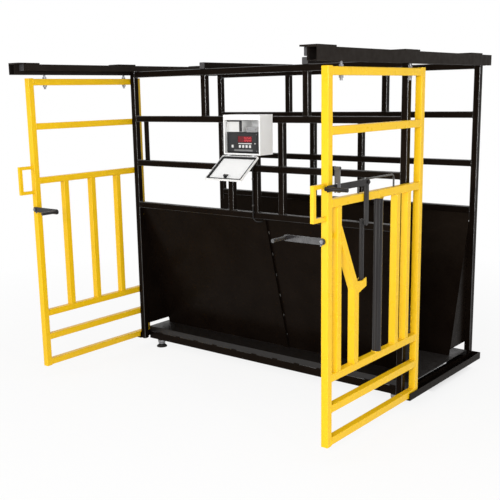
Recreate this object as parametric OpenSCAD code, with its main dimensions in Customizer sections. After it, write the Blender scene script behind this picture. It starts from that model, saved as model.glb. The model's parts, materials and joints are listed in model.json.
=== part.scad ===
// Livestock weighing crate: a tubular race with slanted side sheets on a weighing deck, closed at
// both ends by yellow gates that slide on overhead tracks, with a neck lock on the exit gate and a
// weight indicator in a steel box on the front side. Millimetres, Z up, X along the animal's way.

/* [Crate frame] */
// Length over the corner posts
crate_length = 2140; // [1900:10:2400]
// Width over the corner posts
crate_width = 970; // [880:10:1080]
// Height of the top side tubes above the ground
frame_height = 1986; // [1900:1:2060]
// Side of the square frame tube
tube = 40; // [36:1:44]
// Wall of the square tube
tube_wall = 2.5; // [2:0.5:4]
// Outside corner radius of the square tube
tube_corner = 4; // [3:0.5:6]
// Height of the lower end of the posts
post_bottom = 78; // [70:1:84]
// Spacing of the top and upper side tubes
top_bay = 300; // [270:1:340]
// Spacing of the upper and lower side tubes
upper_bay = 304; // [280:1:330]
// Spacing of the lower side tubes and the tubes along the side sheets
lower_bay = 296; // [260:1:320]
// Distance of the top-bay uprights from mid-length
top_upright = 400; // [300:5:520]
// Distance of the mid-bay uprights from the post that carries the box
mid_upright = 200; // [180:5:280]
// Distance of the short flat upright from the front-left post
stub_gap = 62; // [40:1:120]
// Width of the short flat upright
stub_width = 40; // [30:1:50]
// Thickness of the short flat upright
stub_thick = 6; // [4:1:8]
// Thickness of the grey tube end caps
cap_thick = 3; // [2:0.5:5]
// Depth of a cap's plug inside the tube
cap_plug = 12; // [8:1:20]
// Height of the domed cap under a post
dome_height = 9; // [6:1:12]

/* [Base and deck] */
// Height of the flared foot
foot_height = 28; // [20:1:40]
// Base diameter of the flared foot
foot_base = 76; // [60:1:90]
// Top diameter of the flared foot
foot_neck = 36; // [26:1:44]
// Height of the load-cell canister
cell_height = 24; // [18:1:40]
// Diameter of the load-cell canister
cell_width = 56; // [46:1:70]
// Distance of the feet from the ends of the base
foot_inset = 100; // [70:5:250]
// Height of the base frame tubes
base_height = 55; // [45:1:70]
// Gap between the base frame and the posts, across the crate
base_inset = 50; // [30:1:80]
// Height of the deck over the base frame
deck_height = 38; // [30:1:50]
// Thickness of the tread sheet
tread = 4; // [3:0.5:6]
// Gap between the end of the deck and the floor guide
deck_gap = 1; // [0.5:0.5:8]
// Number of joists under the tread sheet
joists = 5; // [3:1:9]
// Distance of the outer joists from the ends of the deck
joist_inset = 120; // [60:5:200]

/* [Side sheets] */
// Thickness of the side sheets
sheet = 3; // [2:0.5:5]
// Clear width between the sheets at the deck
floor_width = 444; // [380:2:520]
// Distance of a sheet's upper edge from the outside of the crate
sheet_inset = 25; // [18:1:32]
// Gap between the two sheets of a side
seam_gap = 4; // [2:1:10]
// Place of the seam along the crate
seam_place = 62; // [60:1:90]
// Width of the rib over the seam
rib_width = 44; // [34:1:70]
// Depth of the rib over the seam
rib_depth = 14; // [13:1:20]
// Height of the gap under an end gusset
gusset_gap = 40; // [25:1:70]

/* [Tracks and guides] */
// Width of the overhead track
track_width = 56; // [52:1:64]
// Height of the overhead track
track_height = 62; // [60:1:70]
// Wall of the overhead track
track_wall = 3; // [2.5:0.5:4]
// Width of the slot under the track
track_slot = 18; // [17:1:22]
// Overhang of the tracks in front of the crate
track_front = 958; // [920:1:1050]
// Distance of the tracks' rear ends from the back of the crate
track_back = 8; // [0:1:30]
// Overhang of the end tubes in front of the crate
end_front = 919; // [880:1:1000]
// Thickness of the track straps
strap_thick = 8; // [4:1:12]
// Width of the track straps
strap_width = 160; // [120:5:200]
// Distance of the middle straps in front of the crate
strap_mid = 141; // [100:1:160]
// Distance of the rear straps from the back of the crate
strap_rear = 145; // [80:5:200]
// Diameter of the trolley wheels
wheel_size = 36; // [32:1:40]
// Width of a trolley wheel
wheel_width = 11; // [8:1:12]
// Diameter of a trolley axle
axle_size = 10; // [8:1:12]
// Diameter of the hanger bolts
hanger_size = 14; // [12:1:15]
// Distance of the hanger bolts from the gate's ends
hanger_inset = 140; // [110:5:220]
// Height of the floor guide's flanges
guide_height = 42; // [34:1:50]
// Sheet thickness of the floor guide
guide_wall = 4; // [3:0.5:5]
// Overhang of the floor guide past the posts
guide_over = 4; // [0:1:30]

/* [Gates] */
// Width of a gate
gate_width = 960; // [900:10:1040]
// Height of the gates' lower edge
gate_bottom = 86; // [84:1:98]
// Gap between the gates and the tracks
gate_clear = 24; // [16:1:34]
// Overlap of an open gate with the front post
gate_overlap = 105; // [80:5:130]
// Middle height of the second rail from the bottom
rail_two = 278; // [220:1:320]
// Middle height of the third rail from the bottom
rail_three = 439; // [400:1:480]
// Distance of the middle rail from the gates' upper edge
rail_mid_drop = 633; // [600:1:660]
// Distance of the second rail from the gates' upper edge
rail_high_drop = 293; // [220:1:330]
// Number of upright bars in the entry gate
entry_bars = 3; // [2:1:5]
// Height of the D-handles
handle_height = 176; // [140:2:200]
// Reach of the D-handles
handle_reach = 105; // [80:1:120]
// Side of the D-handles' square tube
handle_tube = 20; // [16:1:24]
// Wall of the D-handles' square tube
handle_wall = 2; // [1.5:0.5:3]
// Height of the D-handles over the middle rail
handle_rise = 8; // [0:1:30]
// Drop of the latch arm's pivot under the middle rail
latch_drop = 179; // [172:1:220]
// Length of the latch arm from pivot to grip
latch_length = 212; // [160:1:260]
// Width of the latch arm
latch_width = 32; // [26:1:36]
// Thickness of the latch arm
latch_thick = 6; // [5:1:8]
// Length of the latch arm's grip rod
latch_grip = 108; // [80:1:130]
// Diameter of the latch arm's grip rod
latch_rod = 20; // [16:1:24]
// Diameter of the latch pivot bolt
latch_bolt = 12; // [10:1:16]

/* [Neck lock] */
// Place of the first bar, from the exit gate's front end
bar_one = 104; // [92:1:112]
// Place of the bent bar's lower part
bar_bent = 267; // [240:1:275]
// Drop of the bend under the neck bar's pivot
bend_drop = 10; // [4:1:30]
// Slope of the bent bar from upright, in degrees
bend_angle = 26; // [22:1:32]
// Place of the swinging neck bar
neck_place = 340; // [330:1:360]
// Drop of the neck bar's pivot under the middle rail
neck_drop = 445; // [410:1:470]
// Drop of the neck bar's elbow under the middle rail
neck_elbow = 125; // [100:1:150]
// Diameter of the neck bar
neck_rod = 25; // [20:1:30]
// Place of the fixed neck tube
neck_tube_place = 507; // [470:1:560]
// Diameter of the fixed neck tube
neck_tube = 48; // [40:1:60]
// Place of the first rear bar from the neck tube to the rear stile, in hundredths
bar_four = 42; // [36:1:48]
// Place of the last bar from the neck tube to the rear stile, in hundredths
bar_five = 69; // [62:1:76]
// Height of the pull bar over the middle rail
pull_rise = 76; // [72:1:88]
// Width of the flat pull bar
pull_width = 32; // [24:1:36]
// Thickness of the flat pull bar
pull_thick = 6; // [5:1:8]
// Reach of the pull bar past the gate's front edge
pull_reach = 26; // [16:1:40]
// Length of the pull bar's grip
pull_grip = 121; // [80:1:140]
// Diameter of the pull bar's grip
pull_grip_size = 20; // [18:1:26]
// Width of the neck bar's strap
neck_strap = 38; // [32:1:46]
// Thickness of the neck bar's strap
neck_strap_thick = 6; // [5:1:8]
// Height of the lock plate's hinge pin over the middle rail
lock_rise = 166; // [150:1:190]
// Width of the lock plate
lock_width = 30; // [28:1:40]
// Thickness of the lock plate
lock_thick = 6; // [4:1:8]
// Drop of the pull bar when the neck bar is fully open
pull_drop = 35; // [30:1:40]
// Length of the guide loop
loop_length = 367; // [300:1:400]
// Distance of the guide loop's end in front of the neck bar
loop_front = 40; // [30:1:60]
// Height of the guide loop over the middle rail
loop_height = 70; // [60:1:90]
// Rod diameter of the guide loop
loop_rod = 10; // [8:1:12]

/* [Indicator box] */
// Place of the box and its post along the crate
box_place = 16; // [-20:1:24]
// Width of the box
box_width = 286; // [280:2:340]
// Height of the box
box_height = 242; // [236:2:280]
// Depth of the box
box_depth = 127; // [110:1:150]
// Sheet thickness of the box and its door
box_sheet = 2; // [1.5:0.5:3]
// Width of the lip round the box's opening
box_lip = 10; // [6:1:14]
// Height of the box over the lower side tube
box_rise = 74; // [66:1:90]
// Height of the fixed strip over the opening
top_strip = 30; // [20:1:34]
// Lap of the door over the fixed strip
door_lap = 5; // [3:1:10]
// Opening angle of the door at rest, in degrees
door_angle = 126; // [100:1:150]
// Depth of the door's folded edge
door_edge = 12; // [8:1:16]
// Margin between the door and the outline of the box
door_margin = 4; // [2:1:8]
// Distance of the hinges from the sides of the box
hinge_inset = 45; // [34:1:70]
// Distance of the cam lock from the door's upper edge
cam_drop = 30; // [26:1:33]
// Place of the indicator from the middle of the box
meter_place = -15; // [-16:1:10]
// Height of the indicator over the floor of the box
meter_rise = 8; // [0:1:12]
// Width of the indicator
meter_width = 246; // [220:2:248]
// Height of the indicator
meter_height = 128; // [110:1:134]
// Depth of the indicator
meter_depth = 103; // [80:1:108]
// Bevel round the indicator's front
meter_bevel = 8; // [4:1:12]
// Place of the display window from the middle of the indicator
display_place = 24; // [0:1:40]
// Height of the display window over the indicator's lower edge
display_rise = 84; // [78:1:88]
// Width of the display window
display_width = 112; // [90:1:130]
// Height of the display window
display_height = 37; // [28:1:42]
// Width of a key
key_width = 14; // [10:1:18]
// Height of a key
key_height = 16; // [12:1:20]
// Travel of a key
key_travel = 1.5; // [1:0.5:2.5]
// Height of the keys over the indicator's lower edge
key_rise = 41; // [34:1:46]
// Place of the power key from the middle of the indicator
key_first = -73; // [-80:1:-50]
// Place of the first key in the row of four
key_second = -15; // [-24:1:-4]
// Spacing of the keys in the row
key_step = 26.5; // [22:0.5:28]
// Width of the power module
module_width = 124; // [110:1:140]
// Height of the power module
module_height = 70; // [50:1:76]
// Depth of the power module
module_depth = 98; // [80:1:102]
// Width of the terminal cover
cover_width = 77; // [50:1:84]
// Height of the terminal cover
cover_height = 30; // [20:1:50]
// Depth of the terminal cover
cover_depth = 50; // [30:1:80]

/* [Lead] */
// Diameter of the load-cell lead
lead_size = 8; // [6:1:10]
// Place of the lead from the middle of the post
lead_place = -12; // [-14:1:-8]
// Sideways step of the lead between the gland and the post
lead_step = 40; // [36:1:48]
// Height of that step with the straight piece under the box
lead_fall = 80; // [76:1:90]
// Slope of that step from upright, in degrees
lead_slope = 42; // [38:1:60]
// Radius of the lead's bend at the foot of the post
lead_bend = 34; // [28:1:36]
// Radius of the lead's bend into the rib
lead_turn = 20; // [14:1:22]
// Outside diameter of the cable gland
gland_size = 18; // [15:1:20]
// Length of the cable gland
gland_length = 16; // [10:1:24]

/* [Hidden] */
$fn = 32;
// Running clearances
fit = 0.3;
play = 0.4;
// Diameter of the small pins
pin = 10;
half = tube / 2;
// Side of a cap's plug
plug = tube - 2 * tube_wall - 2 * fit;
px = crate_length / 2;
py = crate_width / 2;
// Gate planes and places
gate_gap = track_width / 2 - half;
gate_in = px + gate_gap;
gate_mid = gate_in + half;
gate_out = gate_in + tube;
gate_front = gate_overlap - py - gate_width;
gate_back = gate_front + gate_width;
// Frame levels
top_level = frame_height - half;
upper_level = top_level - top_bay;
lower_level = upper_level - upper_bay;
panel_level = lower_level - lower_bay;
roof_level = frame_height + half;
side_length = crate_length - 2 * tube;
roof_top = frame_height + tube;
// Base levels
base_width = crate_width - 2 * tube - 2 * base_inset;
base_low = foot_height + cell_height;
base_top = base_low + base_height;
deck_top = base_top + deck_height;
deck_length = crate_length - 2 * deck_gap;
foot_x = px - foot_inset;
foot_y = base_width / 2 - half;
// Side sheets
sheet_top = panel_level - half;
sheet_y = py - sheet_inset;
sheet_low_y = floor_width / 2;
sheet_slope = (sheet_y - sheet_low_y) / (sheet_top - deck_top);
slant = sqrt(1 + sheet_slope * sheet_slope);
sheet_across = sheet * slant;
rib_across = rib_depth * slant;
gusset_low = deck_top + gusset_gap;
// Tracks
track_mid = px + track_width / 2;
track_low = roof_top - track_height;
track_y0 = -py - track_front;
track_y1 = py - track_back;
track_length = track_y1 - track_y0;
strap_places = [track_y0, -py - strap_mid, py - strap_rear - strap_width];
end_y0 = -py - end_front;
axle_level = track_low + track_wall + wheel_size / 2;
wheel_off = track_slot / 2 + 1.5 + wheel_width / 2;
hanger_block = 14;
// Gate levels
gate_top = track_low - gate_clear;
gate_low = gate_bottom + half;
gate_high = gate_top - half;
rail_mid = gate_top - rail_mid_drop;
rail_high = gate_top - rail_high_drop;
rail_levels = [gate_low, rail_two, rail_three, rail_mid, rail_high, gate_high];
rail_length = gate_width - 2 * tube;
bar_low = rail_three + half;
bar_high = rail_mid - half;
handle_level = rail_mid + handle_rise;
// Floor guide
guide_low = gate_bottom - cap_thick - 5 - guide_wall;
guide_top = guide_low + guide_height;
guide_outer = 2 * gate_mid - px;
// Latch
latch_x = gate_mid - 8;
latch_y = gate_front - 2;
latch_level = rail_mid - latch_drop;
// Neck lock
neck_boss = 36;
neck_pin = 14;
neck_y = gate_front + neck_place;
neck_level = rail_mid - neck_drop;
strap_x = gate_out + 3;
pull_level = rail_mid + pull_rise;
pull_x = strap_x + neck_strap_thick + 1 + pull_thick / 2;
grip_x = gate_out + 2;
lock_x = gate_out + 1.5;
lock_y = gate_front + tube + 15;
lock_level = rail_mid + lock_rise;
bend_level = neck_level - bend_drop;
bend_mitre = half * tan(bend_angle / 2);
bent_y = gate_front + bar_bent;
bent_face = gate_front + bar_one + half;
rear_bay = gate_width - half - neck_tube_place;
rear_bars = [for (part = [bar_four, bar_five]) neck_tube_place + rear_bay * part / 100];
// Box
box_front = -py - box_depth;
box_wall = -py - box_sheet;
box_bottom = lower_level + half + box_rise;
box_top = box_bottom + box_height;
hinge_x = box_width / 2 - hinge_inset;
hinge_y = box_front - 8;
hinge_z = box_bottom - 5;
door_low = box_bottom + 3;
door_top = box_top - top_strip + door_lap;
door_width = box_width - 2 * door_margin;
door_back = box_front - 2;
door_front = door_back - door_edge - box_sheet;
cam_level = door_top - cam_drop;
cam_back = box_front + box_sheet + 1 - door_front;
meter_front = box_wall - meter_depth;
meter_low = box_bottom + box_sheet + meter_rise;
meter_top = meter_low + meter_height;
key_places = [key_first, for (i = [0 : 3]) key_second + i * key_step];
key_level = meter_low + key_rise;
display_level = meter_low + display_rise;
// Lead
lead_x = box_place + lead_place;
lead_y = -py - 9;
gland_x = lead_x - lead_step;
step_high = lead_step / tan(lead_slope);
step_low = box_bottom - lead_fall;
lead_level = panel_level - half - 16;
lead_end = seam_place;
rib_face = -(sheet_low_y + (lead_level - deck_top) * sheet_slope + rib_across);
clip_levels = [panel_level + half + 45, lower_level - half - 45];
// Origin under the middle of the whole
x_min = -(px + track_width);
x_max = grip_x + pull_grip;
y_min = latch_y - latch_thick - latch_grip;
y_max = py + max(cap_thick, guide_over);
origin_shift = [-(x_min + x_max) / 2, -(y_min + y_max) / 2, 0];

black = [0.10, 0.10, 0.10];
yellow = [0.95, 0.76, 0.10];
steel = [0.62, 0.63, 0.64];
grey = [0.45, 0.46, 0.47];
white = [0.90, 0.90, 0.88];
rubber = [0.16, 0.16, 0.16];

module placed() { translate(origin_shift) children(); }

// Outline of a square or rectangular tube with round corners
module rounded(w, d, r) {
    square([w - 2 * r, d], center = true);
    square([w, d - 2 * r], center = true);
    for (sx = [-1, 1], sy = [-1, 1])
        translate([sx * (w / 2 - r), sy * (d / 2 - r)]) circle(r, $fn = 16);
}

module section(w = tube, d = tube) {
    difference() {
        rounded(w, d, tube_corner);
        square([w - 2 * tube_wall, d - 2 * tube_wall], center = true);
    }
}

// Tubes by direction, from the middle of one end
module tube_z(length, w = tube, d = tube) { linear_extrude(length) section(w, d); }
module tube_x(length, w = tube, d = tube) { rotate([90, 0, 90]) linear_extrude(length) section(w, d); }
module tube_y(length, w = tube, d = tube) { rotate([-90, 0, 0]) linear_extrude(length) section(w, d); }
module rod_x(d, length) { rotate([0, 90, 0]) cylinder(d = d, h = length); }
module rod_y(d, length) { rotate([-90, 0, 0]) cylinder(d = d, h = length); }
module block(a, b) { translate(a) cube(b - a); }

// Base and deck

module feet() {
    color(rubber) placed()
        for (sx = [-1, 1], sy = [-1, 1]) translate([sx * foot_x, sy * foot_y, 0])
            rotate_extrude() polygon([[0, 0], [foot_base / 2, 0], [foot_base / 2, foot_height * 0.22],
                [foot_neck / 2 + 4, foot_height * 0.72], [foot_neck / 2, foot_height], [0, foot_height]]);
}

module load_cells() {
    color(steel) placed()
        for (sx = [-1, 1], sy = [-1, 1]) translate([sx * foot_x, sy * foot_y, foot_height])
            rotate_extrude() polygon([[0, 0], [foot_neck / 2, 0], [foot_neck / 2, cell_height * 0.25],
                [cell_width / 2 - 3, cell_height * 0.25], [cell_width / 2, cell_height * 0.4],
                [cell_width / 2, cell_height], [0, cell_height]]);
}

module base_long() {
    color(black) placed()
        for (sy = [-1, 1]) translate([-px, sy * foot_y, base_low + base_height / 2])
            tube_x(crate_length, tube, base_height);
}

module base_cross() {
    color(black) placed()
        for (x = [-px + half, -px / 3, px / 3, px - half])
            translate([x, -foot_y + half, base_low + base_height / 2])
                tube_y(2 * foot_y - tube, tube, base_height);
}

module deck_joists() {
    color(black) placed()
        for (i = [0 : joists - 1])
            translate([(i / (joists - 1) - 0.5) * (deck_length - 2 * joist_inset), tread - base_width / 2,
                base_top + (deck_height - tread) / 2])
                tube_y(base_width - 2 * tread, tube, deck_height - tread);
}

module deck_tread() {
    color(black) placed() translate([-deck_length / 2, 0, 0]) rotate([90, 0, 90])
        linear_extrude(deck_length) difference() {
            translate([-base_width / 2, base_top]) square([base_width, deck_height]);
            translate([tread - base_width / 2, base_top - 1])
                square([base_width - 2 * tread, deck_height - tread + 1]);
        }
}

// Crate frame

module posts() {
    color(black) placed()
        for (sx = [-1, 1], sy = [-1, 1])
            translate([sx * (px - half), sy * (py - half), post_bottom]) tube_z(frame_height - post_bottom);
}

module side_tubes() {
    color(black) placed()
        for (y = [half - py, py - half], z = [panel_level, lower_level, upper_level, top_level])
            translate([-side_length / 2, y, z]) tube_x(side_length);
}

module bay_uprights(x, y) {
    translate([x, y, lower_level + half]) tube_z(upper_level - lower_level - tube);
    translate([x, y, panel_level + half]) tube_z(lower_level - panel_level - tube);
}

// Uprights of both sides, the post that carries the box, and the short flat upright by the front-left post
module uprights() {
    color(black) placed() {
        for (y = [half - py, py - half], s = [-1, 1]) {
            translate([s * top_upright, y, upper_level + half]) tube_z(top_level - upper_level - tube);
            bay_uprights(box_place + s * mid_upright, y);
        }
        bay_uprights(box_place, half - py);
        translate([tube - px + stub_gap, half - py - stub_thick / 2, lower_level + half])
            cube([stub_width, stub_thick, upper_level - lower_level - tube]);
    }
}

module cross_tubes() {
    color(black) placed()
        for (s = [-1, 1]) translate([s * top_upright, -py, roof_level]) tube_y(crate_width);
}

module end_tubes() {
    color(black) placed()
        for (s = [-1, 1]) translate([s * (px - half), end_y0, roof_level]) tube_y(py - end_y0);
}

module end_cap() {
    rotate([90, 0, 0]) {
        linear_extrude(cap_thick) rounded(tube, tube, tube_corner);
        translate([0, 0, -cap_plug]) linear_extrude(cap_plug) square(plug, center = true);
    }
}

// Domed cap under a post
module post_cap() {
    intersection() {
        translate([0, 0, -dome_height]) linear_extrude(dome_height) rounded(tube, tube, tube_corner);
        translate([0, 0, tube * 0.9 - dome_height]) sphere(tube * 0.9, $fn = 48);
    }
    linear_extrude(cap_plug) square(plug, center = true);
}

module tube_caps() {
    color(grey) placed() {
        for (sx = [-1, 1], sy = [-1, 1])
            translate([sx * (px - half), sy * (py - half), post_bottom]) post_cap();
        for (s = [-1, 1]) {
            translate([s * top_upright, -py, roof_level]) end_cap();
            translate([s * top_upright, py, roof_level]) rotate(180) end_cap();
            translate([s * (px - half), end_y0, roof_level]) end_cap();
            translate([s * (px - half), py, roof_level]) rotate(180) end_cap();
        }
    }
}

// Slanted side sheets; the outline is drawn for the back side, in Y and Z

module sheet_outline() {
    polygon([[sheet_y, sheet_top], [sheet_low_y, deck_top], [sheet_low_y - sheet_across, deck_top],
        [sheet_y - sheet_across, sheet_top]]);
}

module side_sheets() {
    end = side_length / 2;
    color(black) placed()
        for (m = [0, 1]) mirror([0, m, 0]) {
            translate([-end, 0, 0]) rotate([90, 0, 90])
                linear_extrude(end + seam_place - seam_gap / 2) sheet_outline();
            translate([seam_place + seam_gap / 2, 0, 0]) rotate([90, 0, 90])
                linear_extrude(end - seam_place - seam_gap / 2) sheet_outline();
        }
}

// Folded rib over the seam; the front one takes the lead down to the load cells
module rib(depth, width) {
    translate([seam_place - width / 2, 0, 0]) rotate([90, 0, 90]) linear_extrude(width)
        polygon([[sheet_y, sheet_top], [sheet_low_y, deck_top], [sheet_low_y + depth, deck_top],
            [sheet_y + depth, sheet_top]]);
}

module seam_ribs() {
    color(black) placed() difference() {
        for (m = [0, 1]) mirror([0, m, 0]) difference() {
            rib(rib_across, rib_width);
            rib(rib_across - sheet_across, rib_width - 2 * sheet);
        }
        translate([lead_end, -py, lead_level]) rod_y(lead_size + play, py);
    }
}

module end_gussets() {
    post_face = py - tube;
    meet = sheet_top - (sheet_y - post_face) / sheet_slope;
    low_y = sheet_low_y + (gusset_low - deck_top) * sheet_slope;
    color(black) placed()
        for (sx = [0, 1], sy = [0, 1]) mirror([sx, 0, 0]) mirror([0, sy, 0])
            translate([side_length / 2, 0, 0]) rotate([90, 0, 90]) linear_extrude(sheet)
                polygon([[post_face, meet], [post_face, gusset_low], [low_y - sheet_across, gusset_low],
                    [post_face - sheet_across, meet]]);
}

// Tracks and guides, drawn for the right end

module track() {
    translate([track_mid, track_y1, track_low]) rotate([90, 0, 0])
        linear_extrude(track_length) difference() {
        translate([-track_width / 2, 0]) square([track_width, track_height]);
        translate([track_wall - track_width / 2, track_wall])
            square([track_width - 2 * track_wall, track_height - 2 * track_wall]);
        translate([-track_slot / 2, -1]) square([track_slot, track_wall + 2]);
    }
}

module tracks() { color(black) placed() for (m = [0, 1]) mirror([m, 0, 0]) track(); }

// Flat straps that join the tracks to the end tubes
module track_straps() {
    color(black) placed()
        for (m = [0, 1], y = strap_places)
            mirror([m, 0, 0]) translate([px - tube, y, roof_top])
                cube([tube + track_width, strap_width, strap_thick]);
}

module guide() {
    y0 = -py - guide_over;
    y1 = py + guide_over;
    difference() {
        block([px, y0, guide_low], [guide_outer, y1, guide_top]);
        block([px + guide_wall, y0 - 1, guide_low + guide_wall],
            [guide_outer - guide_wall, y1 - guide_wall, guide_top + 1]);
    }
}

module floor_guides() { color(black) placed() for (m = [0, 1]) mirror([m, 0, 0]) guide(); }

// Gates, drawn for the right end; the entry gate is the mirror image

module gate_stiles() {
    for (y = [gate_front + half, gate_back - half])
        translate([gate_mid, y, gate_bottom]) tube_z(gate_top - gate_bottom);
}

module hanger_places() {
    for (y = [gate_front + hanger_inset, gate_back - hanger_inset]) translate([gate_mid, y, 0]) children();
}

module gate_rails() {
    difference() {
        for (z = rail_levels) translate([gate_mid, gate_front + tube, z]) tube_y(rail_length);
        hanger_places() translate([0, 0, gate_top - tube - 1])
            cylinder(d = hanger_size + play, h = tube + 2);
    }
}

module gate_bar(place) {
    translate([gate_mid, gate_front + place, bar_low]) tube_z(bar_high - bar_low);
}

module gate_caps() {
    for (y = [gate_front + half, gate_back - half]) {
        translate([gate_mid, y, gate_top]) cap_z();
        translate([gate_mid, y, gate_bottom]) mirror([0, 0, 1]) cap_z();
    }
}

module cap_z() {
    linear_extrude(cap_thick) rounded(tube, tube, tube_corner);
    translate([0, 0, -cap_plug]) linear_extrude(cap_plug) square(plug, center = true);
}

// D-handle of square tube with mitred corners on the front stile; the outline is open towards the stile
module handle_outline(inset) {
    high = handle_height / 2;
    inner = handle_tube - inset;
    difference() {
        translate([inset - handle_reach, inset - high]) square([handle_reach - inset, 2 * (high - inset)]);
        translate([inner - handle_reach, inner - high]) square([handle_reach, 2 * (high - inner)]);
    }
}

module gate_handle() {
    translate([gate_mid - handle_tube / 2, gate_front, handle_level]) rotate([90, 0, 90]) difference() {
        linear_extrude(handle_tube) handle_outline(0);
        translate([0, 0, handle_wall])
            linear_extrude(handle_tube - 2 * handle_wall) handle_outline(handle_wall);
    }
}

module hex_nut(d, h) { cylinder(d = 1.75 * d, h = h, $fn = 6); }

// Hanger bolt with its nuts and the trolley block that holds the axle
module gate_hangers() {
    hanger_places() difference() {
        union() {
            translate([0, 0, gate_top - tube - 24])
                cylinder(d = hanger_size, h = axle_level - gate_top + tube + 24);
            translate([0, 0, gate_top - tube - 12]) hex_nut(hanger_size, 12);
            translate([0, 0, gate_top]) hex_nut(hanger_size, 10);
            translate([-hanger_block / 2, -15, axle_level - 12]) cube([hanger_block, 30, 24]);
        }
        translate([-hanger_block, 0, axle_level]) rod_x(axle_size + play, 2 * hanger_block);
    }
}

module wheel_set(y) {
    translate([gate_mid, y, axle_level]) {
        translate([-wheel_off - wheel_width / 2 - 1, 0, 0])
            rod_x(axle_size, 2 * wheel_off + wheel_width + 2);
        for (s = [-1, 1])
            translate([s * wheel_off - wheel_width / 2, 0, 0]) rod_x(wheel_size - 2 * fit, wheel_width);
    }
}

// Latch arm with a grip rod, and its pivot bolt with the stop peg under the arm
module latch_arm() {
    translate([latch_x, latch_y, latch_level]) {
        difference() {
            rotate([90, 0, 0]) linear_extrude(latch_thick) {
                circle(d = latch_width);
                translate([-latch_length, -latch_width / 2]) square([latch_length, latch_width]);
                translate([-latch_length, 0]) circle(d = latch_width);
            }
            translate([0, -latch_thick - 1, 0]) rod_y(latch_bolt + play, latch_thick + 2);
        }
        translate([-latch_length, -latch_thick - latch_grip, 0]) rod_y(latch_rod, latch_grip + 1);
    }
}

module latch_pivot() {
    translate([latch_x, gate_front, latch_level]) {
        translate([0, -2 - latch_thick - fit, 0]) rod_y(latch_bolt, latch_thick + 2 + fit);
        translate([0, fit - 2, 0]) rod_y(latch_bolt + 10, 2 - fit);
        translate([0, -2 - latch_thick - fit, 0]) rotate([90, 0, 0]) hex_nut(latch_bolt, 7);
        translate([-8, -latch_thick - 2, -latch_width / 2 - 4 - fit]) rod_y(8, latch_thick + 2);
    }
}

module left_stiles() { color(yellow) placed() mirror([1, 0, 0]) gate_stiles(); }

module left_rails() { color(yellow) placed() mirror([1, 0, 0]) gate_rails(); }

module left_bars() {
    color(yellow) placed() mirror([1, 0, 0])
        for (i = [1 : entry_bars]) gate_bar(half + i * (gate_width - tube) / (entry_bars + 1));
}

module left_caps() { color(yellow) placed() mirror([1, 0, 0]) gate_caps(); }

module left_handle() { color(yellow) placed() mirror([1, 0, 0]) gate_handle(); }

module left_hangers() { color(steel) placed() mirror([1, 0, 0]) gate_hangers(); }

module left_latch_bolt() { color(steel) placed() mirror([1, 0, 0]) latch_pivot(); }

module left_wheels_front() { color(grey) placed() mirror([1, 0, 0]) wheel_set(gate_front + hanger_inset); }

module left_wheels_back() { color(grey) placed() mirror([1, 0, 0]) wheel_set(gate_back - hanger_inset); }

module left_latch() { color(black) placed() mirror([1, 0, 0]) latch_arm(); }

module right_stiles() { color(yellow) placed() gate_stiles(); }

module right_rails() { color(yellow) placed() gate_rails(); }

module right_bars() { color(yellow) placed() for (p = concat(bar_one, rear_bars)) gate_bar(p); }

module right_caps() { color(yellow) placed() gate_caps(); }

module right_handle() { color(yellow) placed() gate_handle(); }

module right_hangers() { color(steel) placed() gate_hangers(); }

module right_latch_bolt() { color(steel) placed() latch_pivot(); }

module right_wheels_front() { color(grey) placed() wheel_set(gate_front + hanger_inset); }

module right_wheels_back() { color(grey) placed() wheel_set(gate_back - hanger_inset); }

module right_latch() { color(black) placed() latch_arm(); }

// Neck lock on the exit gate

// Outline of the bent bar: upright below the bend, then sloping over to the first bar
module bent_outline(h) {
    rise = (bent_y - bent_face) / tan(bend_angle);
    cut = h / sin(bend_angle);
    mitre = bend_mitre * h / half;
    polygon([[bent_y + h, bar_low], [bent_y + h, bend_level + mitre], [bent_face, bend_level + rise + cut],
        [bent_face, bend_level + rise - cut], [bent_y - h, bend_level - mitre], [bent_y - h, bar_low]]);
}

module bent_bar() {
    color(yellow) placed() translate([gate_in, 0, 0]) rotate([90, 0, 90]) difference() {
        linear_extrude(tube) bent_outline(half);
        translate([0, 0, tube_wall]) linear_extrude(tube - 2 * tube_wall) bent_outline(half - tube_wall);
    }
}

module neck_tube_fixed() {
    color(black) placed() translate([gate_mid, gate_front + neck_tube_place, bar_low]) difference() {
        cylinder(d = neck_tube, h = bar_high - bar_low);
        translate([0, 0, -1]) cylinder(d = neck_tube - 2 * tube_wall, h = bar_high - bar_low + 2);
    }
}

// Two cheeks welded to the bent bar, with the pin that carries the neck bar
module neck_lug() {
    cheek = 6;
    end = neck_y + neck_boss / 2 + 2;
    top = neck_level + 24;
    top_y = bent_y + half - (top - bend_level - bend_mitre) * tan(bend_angle);
    color(yellow) placed() translate([gate_mid, 0, 0]) rotate([90, 0, 90]) {
        for (z = [-half, half - cheek]) translate([0, 0, z]) linear_extrude(cheek)
            polygon([[bent_y + half, neck_level - 36], [end, neck_level - 14], [end, neck_level + 30],
                [neck_y - 14, top - 4], [top_y, top], [bent_y + half, bend_level + bend_mitre]]);
        translate([neck_y, neck_level, cheek - half - 1]) cylinder(d = neck_pin, h = tube - 2 * cheek + 2);
    }
}

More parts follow.
